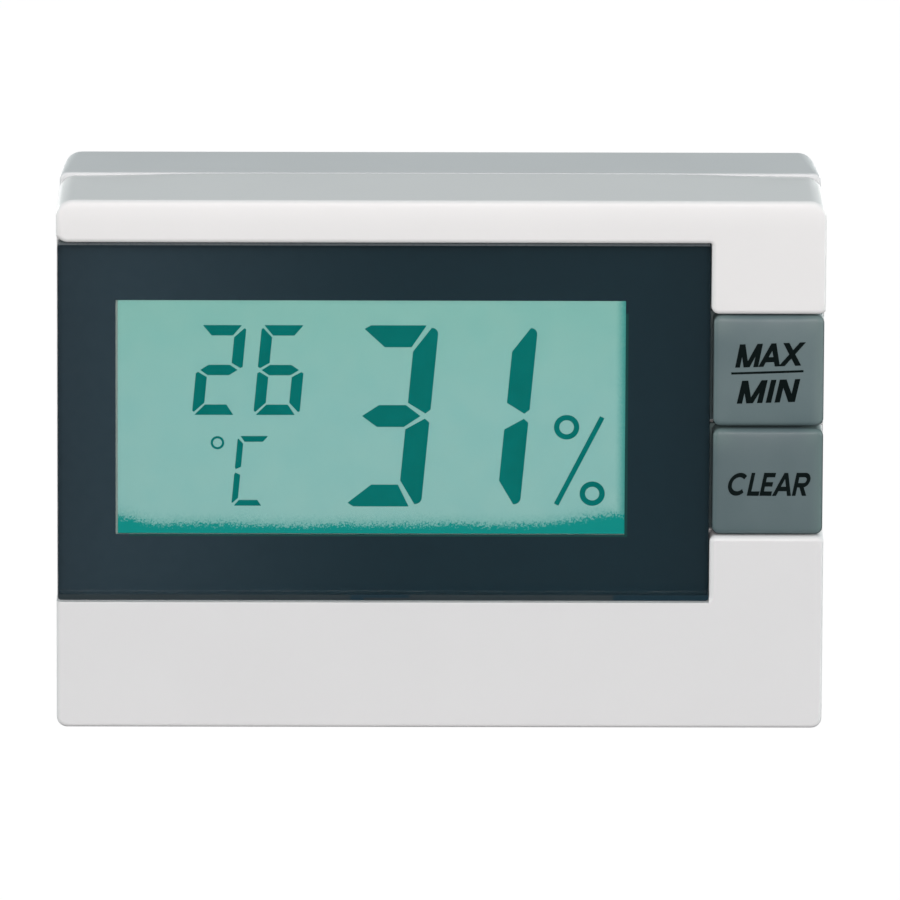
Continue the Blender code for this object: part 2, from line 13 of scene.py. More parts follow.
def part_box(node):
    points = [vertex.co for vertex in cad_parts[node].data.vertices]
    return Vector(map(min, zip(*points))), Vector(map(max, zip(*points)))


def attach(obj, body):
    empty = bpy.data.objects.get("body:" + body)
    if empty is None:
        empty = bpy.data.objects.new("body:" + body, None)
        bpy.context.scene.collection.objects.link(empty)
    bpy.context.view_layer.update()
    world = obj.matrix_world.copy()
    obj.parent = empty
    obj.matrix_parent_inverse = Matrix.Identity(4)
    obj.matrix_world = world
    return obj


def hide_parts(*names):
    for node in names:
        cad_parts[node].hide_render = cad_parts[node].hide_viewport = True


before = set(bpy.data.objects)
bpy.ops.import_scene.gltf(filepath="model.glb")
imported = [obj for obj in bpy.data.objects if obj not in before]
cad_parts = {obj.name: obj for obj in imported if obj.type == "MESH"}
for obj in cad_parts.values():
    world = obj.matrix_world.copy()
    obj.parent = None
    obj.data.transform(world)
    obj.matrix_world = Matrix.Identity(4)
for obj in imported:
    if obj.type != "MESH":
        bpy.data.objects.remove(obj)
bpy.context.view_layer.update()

MM = 0.001
SMOOTH_ANGLE = 30.0


def box(node):
    """Lowest and highest corner of a CAD node, in millimetres."""
    low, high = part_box(node)
    return low / MM, high / MM


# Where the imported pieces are
SHELL_LOW, SHELL_HIGH = box("front_housing")
PANE_LOW, PANE_HIGH = box("display_window")
GLASS_LOW, GLASS_HIGH = box("lcd_front_glass")
FILM_LOW, FILM_HIGH = box("lcd_front_polariser")
COVER_LOW, COVER_HIGH = box("battery_cover")
BUTTON_NODES = {"max_min": "button_max_min", "clear": "button_clear"}
BUTTON_BOX = {key: box(node) for key, node in BUTTON_NODES.items()}

# Housing
HALF = SHELL_HIGH.x
HEIGHT = SHELL_HIGH.z
FRONT = SHELL_LOW.y
BACK = box("rear_housing")[1].y
PARTING = 1.0
WALL = 1.5
INNER = HALF - WALL
DRAFT = 0.12
SEAM = 0.03
CORNER_LOW, FRONT_CORNER = 0.8, 1.25
FRONT_RIM = 0.3
CROWN_LOW, CROWN_DEPTH = 39.2, 0.15
SAG_MIDDLE, SAG_END, SAG_START, SAG_RUN = 0.06, 0.15, 17.0, 10.5
REAR_INSET_SIDE, REAR_LEDGE_TOP = 0.06, 0.03
REAR_TAPER_SIDE, REAR_TAPER_TOP = 0.43, 0.08
REAR_CORNER_FRONT, REAR_CORNER_BACK = 0.55, 1.35
REAR_LIP, REAR_RIM = 0.17, 0.6

# Sunk band for the pane: its walls, its lips, and how its top edge turns up at the left side
BAND_FLOOR, BAND_BACK = -5.7, -4.6
BAND_LOW, BAND_HIGH = PANE_LOW.z - 0.04, PANE_HIGH.z + 0.1
BAND_RIGHT = PANE_HIGH.x + 0.12
BAND_FLARE, BAND_LIP = 0.4, 0.08
BAND_TURN, BAND_SPREAD = 0.55, 2.2

# Buttons, and the notch they stand in, whose edges turn apart at the right side
BUTTON_BACK = -5.75
NOTCH_FLOOR, NOTCH_BACK = -5.05, -4.05
NOTCH_LOW = BUTTON_BOX["clear"][0].z - 0.1
NOTCH_HIGH = BUTTON_BOX["max_min"][1].z + 0.12
NOTCH_TURN, NOTCH_SPREAD = 0.3, 1.9
STEM_HALF, STEM_PLAY = 1.5, 0.2
FOOT_HALF = 2.2
BUTTON_X = (BUTTON_BOX["clear"][0].x + BUTTON_BOX["clear"][1].x) / 2
BUTTON_CORNER, BUTTON_RIM = 0.6, 0.4
PILLOW = 0.18
FACE_RINGS, FACE_REACH = 12, 12.5

# Screws, their posts and their holes
HOUSING_SCREWS = [(-25.7, 3.3), (25.7, 3.3), (-25.7, 37.9), (25.7, 37.9)]
BOARD_SCREWS = [(-15.0, 5.6), (15.0, 5.6), (19.3, 36.6)]
HOUSING_POST, HOUSING_HOLE = 1.95, 1.1
BOARD_POST, BOARD_HOLE, BOARD_FRONT = 1.7, 0.8, -1.15
REAR_POST, REAR_HOLE, HEAD_HOLE, HEAD_SEAT = 2.55, 1.2, 2.0, 4.6

# Battery well and cover, about one axis along Y
AXIS_X, AXIS_Z = 18.6, 15.5
WELL_OUTER, CUP_OUTER, CUP_INNER = 9.2, 7.3, 6.15
SEAT_RADIUS, LUG_ROOM, MOUTH_RADIUS = 6.9, 7.6, 8.05
LEDGE_FRONT, LEDGE_BACK = 4.95, 6.05
COVER_RADIUS = (COVER_HIGH.x - COVER_LOW.x) / 2
COVER_INNER = 6.95
SKIRT_INNER, SKIRT_OUTER, SKIRT_FRONT = 6.0, 6.7, 5.1
LUG_INNER, LUG_OUTER, LUG_SPAN, LUG_BACK = 6.4, 7.4, 24.0, 5.9
COVER_TURN = 45.0
SLOT_HALF, SLOT_TALL = 5.0, 0.8

# Stand and its recess
HINGE_Y, HINGE_Z = 7.0, 28.6
RECESS_HALF, RECESS_FLOOR, RECESS_LOW, RECESS_HIGH = 9.2, 5.8, 3.0, 30.5
LEG_FOOT = box("stand_leg")[0].z
LEG_HALF, LEG_FRONT, LEG_BACK = 8.9, 6.15, 7.75
PIN_RADIUS, PIN_PLAY = 0.8, 0.12

# Vents
VENT_ROWS, VENT_LOW, VENT_PITCH = 6, 9.4, 2.6
VENT_LEFT, VENT_RIGHT, VENT_TALL = -25.0, -12.5, 1.2

# Pane: chamfered rim, and the mark of its moulding gate in the lower chamfer
PANE_RIGHT = PANE_HIGH.x + 0.09
CHAMFER_SIDE, CHAMFER_LOW, CHAMFER_TOP, CHAMFER_DEPTH = 0.03, 0.46, 0.14, 0.12
PANE_CORNER = 0.25
EDGE_END = 13.0
GATE_LEFT, GATE_RIGHT = -6.5, -2.3
GATE_RISE, GATE_HEIGHT, GATE_DEPTH = 0.22, 0.28, 0.08

# Display, behind the pane: a printed mask with an opening, then the film with its lit segments
MASK_FRONT, MASK_BACK = -6.09, -6.07
VIEW_LEFT, VIEW_RIGHT, VIEW_LOW, VIEW_HIGH = -24.54, 13.97, 14.69, 32.99
PALE_LINE = 0.16
SEGMENT_FRONT, GROUND_FRONT = -6.062, -6.05
SLANT = 0.0928
SHARP = 0.03

# Segments of a digit: distances from the upright box's sides and ends, see Digit
LARGE = {"size": (5.62, 14.17), "bar": 1.71, "post": 1.77, "soft": 0.5, "head": 0.33, "knee": 0.19,
         "tip": (0.53, 0.19), "foot": (0.37, 0.20, 0.51), "bar_right": [(1.91, 1.71), (0.93, 0.0)],
         "bar_left": [(0.50, 0.0), (0.03, 0.28), (1.69, 1.71)], "middle_left": (0.48, 1.69),
         "middle_right": (0.72, 1.90)}
SMALL = {"size": (3.49, 7.02), "bar": 0.81, "post": 0.86, "soft": 0.13, "head": 0.15, "knee": 0.155,
         "tip": (0.15, 0.25), "foot": (0.17, 0.15, 0.25), "bar_right": [(0.96, 0.81), (0.35, 0.0)],
         "bar_left": [(0.18, 0.0), (0.92, 0.81)], "middle_left": (0.31, 0.90),
         "middle_right": (0.36, 0.98)}
UNIT = {"size": (2.45, 5.46), "bar": 0.45, "post": 0.46, "soft": 0.06, "head": 0.16, "knee": 0.09,
        "tip": (0.07, 0.22), "foot": (0.07, 0.13, 0.27), "bar_right": [(0.52, 0.45), (0.17, 0.0)],
        "bar_left": [(0.19, 0.0), (0.54, 0.45)], "middle_left": (0.17, 0.52), "middle_right": (0.17, 0.52)}

# What is lit: lower left corner, style and segments of each digit, and the rings as x, z, outer, inner
DIGITS = [(-18.78, 24.03, SMALL, "abged"), (-14.14, 24.03, SMALL, "afgecd"), (-15.80, 16.92, UNIT, "afed"),
          (-7.06, 16.88, LARGE, "abgcd"), (0.42, 16.88, LARGE, "bc")]
SIGN_RINGS = [(-16.84, 21.85, 0.515, 0.34), (9.55, 23.11, 0.96, 0.55), (11.515, 17.91, 0.955, 0.535)]
SIGN_STROKE = [(8.79, 17.05), (12.24, 23.90)]
SIGN_STROKE_WIDTH = 0.38

# Button labels: ink about the face, and capitals one unit tall
INK_FRONT, INK_BACK = -0.02, 0.03
LETTER_WIDTH = {"M": 1.05, "A": 1.0, "X": 1.1, "N": 0.84, "C": 1.06, "L": 0.62, "E": 0.62, "R": 0.80}
LETTER_LEAN = 0.25
KERNING = {"AX": -0.10}
# Each word with its box x0, z0, x1, z1, stroke and gap; the rule's box; and the tilt in degrees
LABELS = {
    "max_min": ([("MAX", (22.2, 28.40, 27.6, 30.20), 0.22, 0.0),
                 ("MIN", (22.25, 25.58, 27.1, 27.36), 0.22, 0.14)], [(21.9, 27.87, 27.35, 28.04)], 2.0),
    "clear": ([("CLEAR", (21.73, 18.30, 27.97, 20.10), 0.193, 0.04)], [], 0.0),
}

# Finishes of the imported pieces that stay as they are
INNER_FINISHES = {
    "window_adhesive": "adhesive", "lcd_front_glass": "glass", "lcd_rear_glass": "glass",
    "lcd_reflector": "reflector", "lcd_holder": "natural", "zebra_strip": "rubber", "pcb": "board",
    "cob_chip": "epoxy", "crystal": "steel", "capacitor_1": "ceramic", "capacitor_2": "ceramic",
    "resistor_1": "epoxy", "resistor_2": "epoxy", "humidity_sensor": "natural", "thermistor": "resin",
    "switch_max_min": "epoxy", "switch_clear": "epoxy", "plunger_max_min": "natural",
    "plunger_clear": "natural", "battery_cell": "steel", "battery_contact_positive": "tin",
    "battery_contact_negative": "tin",
}

# Camera, and lights as name, turn and tilt in degrees, size, power and colour
CAMERA_TURN, CAMERA_TILT, CAMERA_ROLL = 0.6, 15.21, 0.262
CAMERA_DISTANCE = 1.2478
CAMERA_LENS = 661.2
CAMERA_TARGET = Vector((0.72, FRONT, 21.841)) * MM
SKY_COLOUR, SKY_STRENGTH = (0.88, 0.99, 1.02, 1.0), 0.375
LIGHT_DISTANCE, LIGHT_AIM = 1.1, Vector((0.0, 0.0, 0.02))
LIGHTS = [("light_front", 0.0, 18.0, 0.5, 6.9, (1.0, 0.905, 0.905)),
          ("light_left", -76.0, 4.0, 0.7, 5.6, (0.97, 1.0, 0.99)),
          ("light_right", 76.0, 4.0, 0.7, 8.0, (0.97, 1.0, 0.99)),
          ("light_back_left", -142.0, 2.5, 0.25, 7.0, (1.0, 1.0, 1.0)),
          ("light_back_right", 142.0, 2.5, 0.25, 7.0, (1.0, 1.0, 1.0))]
FLOOR_REACH, FLOOR_DROP = 20.0, 0.00005


# ---------------------------------------------------------------- shapes

def place(name, data):
    """A new object with the given data, linked to the scene."""
    made = bpy.data.objects.new(name, data)
    bpy.context.scene.collection.objects.link(made)
    return made


def finish_mesh(shape):
    """Turns a bmesh in millimetres into a mesh in metres, with its normals facing out."""
    bmesh.ops.recalc_face_normals(shape, faces=shape.faces)
    bmesh.ops.scale(shape, vec=(MM, MM, MM), verts=shape.verts)
    mesh = bpy.data.meshes.new("shape")
    shape.to_mesh(mesh)
    shape.free()
    return mesh


def rounded(corners, grow=0.0, steps=8):
    """Outline points from anticlockwise (x, z, radius) corners, moved outwards by grow."""
    points = []
    for number, (x, z, radius) in enumerate(corners):
        here = Vector((x, z))
        before = Vector(corners[number - 1][:2])
        after = Vector(corners[(number + 1) % len(corners)][:2])
        first = (here - before).normalized()
        second = (after - here).normalized()
        turn = atan2(first.x * second.y - first.y * second.x, first.dot(second))
        convex = 1 if turn > 0 else -1
        out_first = Vector((first.y, -first.x))
        out_second = Vector((second.y, -second.x))
        tip = here + (out_first + out_second) * grow / (1 + out_first.dot(out_second))
        room = min((here - before).length, (after - here).length) * 0.95 / max(tan(abs(turn) / 2), 1e-6)
        radius = max(min(radius, room) + convex * grow, 0.02)
        start = tip - first * radius * tan(abs(turn) / 2)
        centre = start - out_first * radius * convex
        for step in range(steps + 1):
            points.append(centre + Matrix.Rotation(turn * step / steps, 2) @ (start - centre))
    return points


def four(x0, z0, x1, z1, radius, high_radius=None):
    """The corners of a rectangle for rounded()."""
    high_radius = radius if high_radius is None else high_radius
    return [(x0, z0, radius), (x1, z0, radius), (x1, z1, high_radius), (x0, z1, high_radius)]


def ring(y, outline):
    """An outline of (x, z) points, placed at a depth."""
    return [(x, y, z) for x, z in outline]


def dense(rings, longest):
    """The same rings with points added along their long straight edges."""
    first = [Vector(point) for point in rings[0]]
    pieces = [max(1, ceil((first[(i + 1) % len(first)] - here).length / longest))
              for i, here in enumerate(first)]
    made = []
    for points in rings:
        corners = [Vector(point) for point in points]
        made.append([tuple(here.lerp(corners[(i + 1) % len(corners)], step / pieces[i]))
                     for i, here in enumerate(corners) for step in range(pieces[i])])
    return made


def rim(corners, y, radius, side, flare=-1.0, steps=6):
    """Rings of a rounded edge, from the face at y towards side (+1 or -1) along Y."""
    rings = []
    for step in range(steps + 1):
        turn = pi / 2 * step / steps
        inset = radius * (1 - sin(turn))
        depth = radius * (1 - cos(turn))
        rings.append(ring(y + side * depth, rounded(corners, flare * inset)))
    return rings


def loft(rings):
    """A closed body through rings that all have the same number of points."""
    shape = bmesh.new()
    loops = [[shape.verts.new(point) for point in points] for points in rings]
    for near, far in zip(loops, loops[1:]):
        for i, vert in enumerate(near):
            j = (i + 1) % len(near)
            shape.faces.new((vert, near[j], far[j], far[i]))
    shape.faces.new(loops[0])
    shape.faces.new(loops[-1])
    return finish_mesh(shape)


def extrude(outline, y0, y1):
    """A straight body between two depths."""
    return loft([ring(y0, outline), ring(y1, outline)])


def pocket(corners, face, floor, flare):
    """A cutter from beyond the face down to the floor, whose walls flare out at the face."""
    side = 1 if floor > face else -1
    mouth = [ring(face - side, rounded(corners, flare))]
    return loft(mouth + rim(corners, face, flare, side, flare=1.0) + [ring(floor, rounded(corners))])


def block(low, high):
    """A straight block between two opposite corners."""
    shape = bmesh.new()
    bmesh.ops.create_cube(shape, size=1.0)
    for vert in shape.verts:
        vert.co = Vector(high[i] if vert.co[i] > 0 else low[i] for i in range(3))
    return finish_mesh(shape)


def turned(profile, x=AXIS_X, z=AXIS_Z, sides=96):
    """A turned body about an axis along Y: profile is (radius, y), and its two ends become flat caps."""
    turns = [2 * pi * i / sides for i in range(sides)]
    return loft([[(x + radius * cos(t), y, z + radius * sin(t)) for t in turns]
                 for radius, y in profile])


def rod(x, z, radius, y0, y1, sides=48):
    """A cylinder along Y."""
    return turned([(radius, y0), (radius, y1)], x, z, sides)


def rods(places, radius, y0, y1):
    """The same cylinder at each (x, z) place."""
    return [rod(x, z, radius, y0, y1) for x, z in places]


def axle(y, z, radius, x0, x1, sides=40):
    """A cylinder along X."""
    shape = bmesh.new()
    bmesh.ops.create_cone(shape, cap_ends=True, segments=sides, radius1=radius, radius2=radius, depth=x1 - x0)
    bmesh.ops.rotate(shape, verts=shape.verts, cent=(0, 0, 0), matrix=Matrix.Rotation(pi / 2, 3, "Y"))
    bmesh.ops.translate(shape, verts=shape.verts, vec=((x0 + x1) / 2, y, z))
    return finish_mesh(shape)


def sector(inner, outer, middle, span, y0, y1, steps=10):
    """A piece of a ring about the battery's axis, angles in degrees from +X towards +Z."""
    turns = [radians(middle - span / 2 + span * i / steps) for i in range(steps + 1)]
    outline = [(AXIS_X + outer * cos(t), AXIS_Z + outer * sin(t)) for t in turns]
    outline += [(AXIS_X + inner * cos(t), AXIS_Z + inner * sin(t)) for t in reversed(turns)]
    return extrude(outline, y0, y1)


def sculpt(base, steps):
    """The base after each (operation, mesh) step has added, taken away or intersected its mesh."""
    shown = place("body", base)
    tools = []
    for operation, mesh in steps:
        tool = place("tool", mesh)
        tools.append(tool)
        modifier = shown.modifiers.new("step", "BOOLEAN")
        modifier.solver = "EXACT"
        modifier.operation = operation
        modifier.object = tool
    graph = bpy.context.evaluated_depsgraph_get()
    result = bpy.data.meshes.new_from_object(shown.evaluated_get(graph))
    for item in [shown, *tools]:
        bpy.data.objects.remove(item)
    return result


def add(*meshes):
    """Steps for sculpt() that add meshes."""
    return [("UNION", mesh) for mesh in meshes]


def cut(*meshes):
    """Steps for sculpt() that take meshes away."""
    return [("DIFFERENCE", mesh) for mesh in meshes]


def piece(name, mesh, finish, body="case", stands_for=()):
    """A shown piece that rides on a body, shaded smooth except at its sharp edges."""
    made = place(name, mesh)
    mesh.name = name
    mesh.materials.clear()
    for one in finish if isinstance(finish, list) else [finish]:
        mesh.materials.append(one)
    mesh.shade_smooth()
    mesh.set_sharp_from_angle(angle=radians(SMOOTH_ANGLE))
    even = made.modifiers.new("Even shading", "WEIGHTED_NORMAL")
    even.keep_sharp = True
    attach(made, body)
    if stands_for:
        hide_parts(*stands_for)


# ---------------------------------------------------------------- materials

class Finish:
    """A material, its Principled shader, and short ways to add and join nodes."""

    def __init__(self, name, roughness, metallic=0.0, specular=0.5):
        self.material = bpy.data.materials.new(name)
        self.material.use_nodes = True
        self.tree = self.material.node_tree
        self.shader = self.tree.nodes["Principled BSDF"]
        self.output = self.tree.nodes["Material Output"]
        self.feed(self.shader, {"Roughness": roughness, "Metallic": metallic, "Specular IOR Level": specular})
        self.place = self.node("TexCoord").outputs["Object"]

    def feed(self, node, values):
        """Gives a node's sockets numbers, colours, vectors or other nodes' outputs."""
        for socket, value in values.items():
            socket = node.inputs[socket] if isinstance(socket, (int, str)) else socket
            if isinstance(value, bpy.types.NodeSocket):
                self.tree.links.new(value, socket)
            else:
                socket.default_value = (*value, 1.0) if socket.type == "RGBA" else value

    def node(self, kind, values=None, **settings):
        """A new node with some of its sockets fed and some of its properties set."""
        made = self.tree.nodes.new("ShaderNode" + kind)
        for key, value in settings.items():
            setattr(made, key, value)
        self.feed(made, values or {})
        return made

    def noise(self, scale, detail=3.0, stretch=(1, 1, 1)):
        """Noise whose cells are about 1 / scale metres wide, drawn out along an axis by stretch."""
        mapping = self.node("Mapping", {"Scale": stretch, "Vector": self.place})
        vector = mapping.outputs["Vector"]
        return self.node("TexNoise", {"Scale": scale, "Detail": detail, "Vector": vector}).outputs["Fac"]

    def ramp(self, source, stops):
        """A colour ramp of (place, colour) stops."""
        made = self.node("ValToRGB", {"Fac": source})
        elements = made.color_ramp.elements
        while len(elements) < len(stops):
            elements.new(0.5)
        for element, (place, colour) in zip(elements, stops):
            element.position = place
            element.color = (*colour, 1.0)
        return made.outputs["Color"]

    def span(self, source, low, high, start, end, smooth=False):
        """Maps source from low..high to start..end, clamped."""
        values = {"Value": source, "From Min": low, "From Max": high, "To Min": start, "To Max": end}
        made = self.node("MapRange", values, interpolation_type="SMOOTHSTEP" if smooth else "LINEAR")
        return made.outputs["Result"]

    def maths(self, operation, first, second):
        """One sum of two numbers or outputs."""
        return self.node("Math", {0: first, 1: second}, operation=operation).outputs["Value"]

    def blend(self, share, first, second, kind="MIX"):
        """Mixes two colours, each a tuple or an output."""
        made = self.node("Mix", data_type="RGBA", blend_type=kind)
        colours = [socket for socket in made.inputs if socket.type == "RGBA"]
        self.feed(made, {"Factor": share, colours[0]: first, colours[1]: second})
        return next(socket for socket in made.outputs if socket.type == "RGBA")

    def axis(self, letter):
        """One coordinate of a place on the piece, in metres."""
        return self.node("SeparateXYZ", {"Vector": self.place}).outputs[letter]

    def beyond(self, letter, low, high):
        """How far a place lies outside low..high along an axis, in metres, negative inside it."""
        offset = self.maths("SUBTRACT", self.axis(letter), (low + high) / 2 * MM)
        return self.maths("SUBTRACT", self.maths("ABSOLUTE", offset, 0.0), (high - low) / 2 * MM)

    def bump(self, height, depth):
        """Relief of the given depth in metres."""
        made = self.node("Bump", {"Distance": depth, "Height": height})
        self.feed(self.shader, {"Normal": made.outputs["Normal"]})

    def colour(self, source):
        """Joins the base colour."""
        self.feed(self.shader, {"Base Color": source})

    def grain(self, scale, depth, rough, stretch=(1, 1, 1)):
        """Fine grain: roughness that varies between two values, and a shallow relief."""
        fine = self.noise(scale, 2.0, stretch)
        self.feed(self.shader, {"Roughness": self.span(fine, 0.35, 0.65, *rough)})
        self.bump(fine, depth)

    def patches(self, scale, dark, light):
        """Faint patches of two close colours."""
        return self.ramp(self.noise(scale), [(0.35, dark), (0.65, light)])


def moulded(name, dark, light, rough, patch=90.0, grain=7000.0, depth=2.5e-6, metallic=0.0, specular=0.5,
            stretch=(1, 1, 1)):
    """Moulded or machined stock: faint patches of two close colours, and a fine grain."""
    finish = Finish(name, rough[0], metallic, specular)
    finish.colour(finish.patches(patch, dark, light))
    finish.grain(grain, depth, rough, stretch)
    return finish.material


def white_material():
    """White housing plastic, its colour painted lighter towards the top of the front and darker towards the
    bottom: painted light and shade.
    """
    finish = Finish("abs_white", 0.42)
    patches = finish.patches(90.0, (0.985, 0.985, 0.985), (1.0, 1.0, 1.0))
    # Painted light and shade: the base colour grows lighter with height over the front.
    height = finish.span(finish.axis("Z"), 8.0 * MM, 36.0 * MM, 0.0, 1.0, smooth=True)
    painted_light = finish.blend(height, (0.768, 0.780, 0.780), (0.848, 0.853, 0.844))
    finish.colour(finish.blend(1.0, painted_light, patches, "MULTIPLY"))
    finish.grain(7000.0, 2.5e-6, (0.36, 0.46))
    return finish.material


def grey_material(key, dark, light, pale):
    """Waxy grey button plastic, with painted highlights that make it paler along its right edge and in its
    upper corners.
    """
    low, high = BUTTON_BOX[key]
    finish = Finish(f"abs_grey_{key}", 0.47)
    patches = finish.patches(200.0, dark, light)
    # Painted highlights: the pale colour is mixed in along the right edge and in the upper corners.
    right = finish.span(finish.axis("X"), (high.x - 1.1) * MM, (high.x - 0.2) * MM, 0.0, 0.9, smooth=True)
    side = finish.span(finish.beyond("X", low.x + 2.2, high.x - 2.2), 0.0, 1.9 * MM, 0.0, 1.0, smooth=True)
    top = finish.span(finish.axis("Z"), (high.z - 2.2) * MM, (high.z - 0.5) * MM, 0.0, 1.0, smooth=True)
    share = finish.maths("MAXIMUM", right, finish.maths("MULTIPLY", side, top))
    finish.colour(finish.blend(share, patches, pale))
    finish.grain(5000.0, 2.0e-6, (0.42, 0.52))
    return finish.material


def pane_material():
    """Clear acrylic: see-through, with a mirror gloss that grows towards grazing angles."""
    smooth, least_mirror = 0.03, 0.035
    finish = Finish("acrylic_clear", smooth)
    clear = finish.node("BsdfTransparent", {"Color": (0.96, 0.985, 0.98)})
    wave = finish.node("Bump", {"Distance": 1.5e-6, "Height": finish.noise(260.0, 1.0)})
    gloss = finish.node("BsdfGlossy", {"Roughness": smooth, "Normal": wave.outputs["Normal"]})
    grazing = finish.maths("POWER", finish.node("LayerWeight").outputs["Facing"], 5.0)
    mirror = finish.span(grazing, 0.0, 1.0, least_mirror, 1.0)
    mix = finish.node("MixShader", {"Fac": mirror, 1: clear.outputs["BSDF"], 2: gloss.outputs["BSDF"]})
    finish.feed(finish.output, {"Surface": mix.outputs["Shader"]})
    finish.tree.nodes.remove(finish.shader)
    return finish.material


def mask_material():
    """Ink on the pane's back: blue black, with a painted reflection that makes it paler to the left, and a
    painted teal shadow line below and right of the view.
    """
    finish = Finish("mask_ink", 0.55, specular=0.2)
    # Painted reflection: the ink is mixed paler towards the left.
    across = finish.span(finish.axis("X"), PANE_LOW.x * MM, -1.0 * MM, 1.0, 0.0, smooth=True)
    painted_light = finish.blend(across, (0.0056, 0.0268, 0.0405), (0.0285, 0.0525, 0.0725))
    cloud = finish.ramp(finish.noise(1400.0, 4.0), [(0.3, (0.90, 0.93, 0.94)), (0.7, (1.0, 1.0, 1.0))])
    inked = finish.blend(1.0, painted_light, cloud, "MULTIPLY")
    # Painted shadow: a thin teal line on the ink just below and right of the view opening.
    spread_x = finish.beyond("X", VIEW_LEFT + 1.0, VIEW_RIGHT + 0.2)
    spread_z = finish.beyond("Z", VIEW_LOW - 0.16, VIEW_HIGH - 1.0)
    line = finish.span(finish.maths("MAXIMUM", spread_x, spread_z), -0.03 * MM, 0.03 * MM, 0.75, 0.0)
    finish.colour(finish.blend(line, inked, (0.004, 0.080, 0.072)))
    return finish.material


def film_material():
    """The display's lit ground: grey green, with a speckled dark bleed along its lower edge."""
    finish = Finish("display_ground", 0.5, specular=0.1)
    height = finish.maths("DIVIDE", finish.maths("SUBTRACT", finish.axis("Z"), VIEW_LOW * MM), MM)
    across = finish.axis("X")
    rise = finish.ramp(finish.span(height, 0.0, VIEW_HIGH - VIEW_LOW, 0.0, 1.0),
                       [(0.0, (0.362, 0.645, 0.615)), (0.55, (0.345, 0.648, 0.608)),
                        (1.0, (0.305, 0.640, 0.550))])
    mottle = finish.patches(450.0, (0.315, 0.620, 0.590), (0.380, 0.660, 0.615))
    ground = finish.blend(0.4, rise, mottle)

    def sway(scale, reach):
        """Noise about zero, up to about half of reach either way."""
        return finish.maths("MULTIPLY", finish.maths("SUBTRACT", finish.noise(scale, 2.0), 0.5), reach)

    speckle = sway(9000.0, 1.6)
    drift = sway(160.0, 0.7)
    left = finish.span(across, VIEW_LEFT * MM, (VIEW_LEFT + 3.2) * MM, 0.6, 0.0, smooth=True)
    right = finish.span(across, (VIEW_RIGHT - 7.0) * MM, VIEW_RIGHT * MM, 0.0, 0.8, smooth=True)
    edge = finish.maths("SUBTRACT", height, finish.maths("ADD", left, right))
    edge = finish.maths("ADD", edge, finish.maths("ADD", speckle, drift))
    bleed = finish.span(edge, 0.52, 1.12, 1.0, 0.0, smooth=True)
    fade = finish.span(edge, 0.7, 1.8, 0.30, 0.0, smooth=True)
    side = finish.maths("ADD", across, finish.maths("MULTIPLY", speckle, 0.22 * MM))
    shore = finish.span(side, (VIEW_RIGHT - 0.85) * MM, (VIEW_RIGHT + 0.1) * MM, 0.0, 0.8, smooth=True)
    share = finish.maths("MAXIMUM", finish.maths("MAXIMUM", bleed, fade), shore)
    finish.colour(finish.blend(share, ground, (0.0, 0.342, 0.308)))
    return finish.material


def board_material():
    """Solder mask over copper tracks, which show as paler lines."""
    finish = Finish("solder_mask", 0.32)
    upright = finish.node("Mapping", {"Rotation": (pi / 2, 0.0, 0.0), "Vector": finish.place})
    values = {"Scale": 260.0, "Mortar Size": 0.09, "Color1": (0.010, 0.090, 0.035),
              "Color2": (0.014, 0.110, 0.045), "Mortar": (0.035, 0.240, 0.090),
              "Vector": upright.outputs["Vector"]}
    tracks = finish.node("TexBrick", values, offset=0.35, squash=0.6)
    finish.colour(tracks.outputs["Color"])
    finish.bump(tracks.outputs["Fac"], 8e-6)
    return finish.material


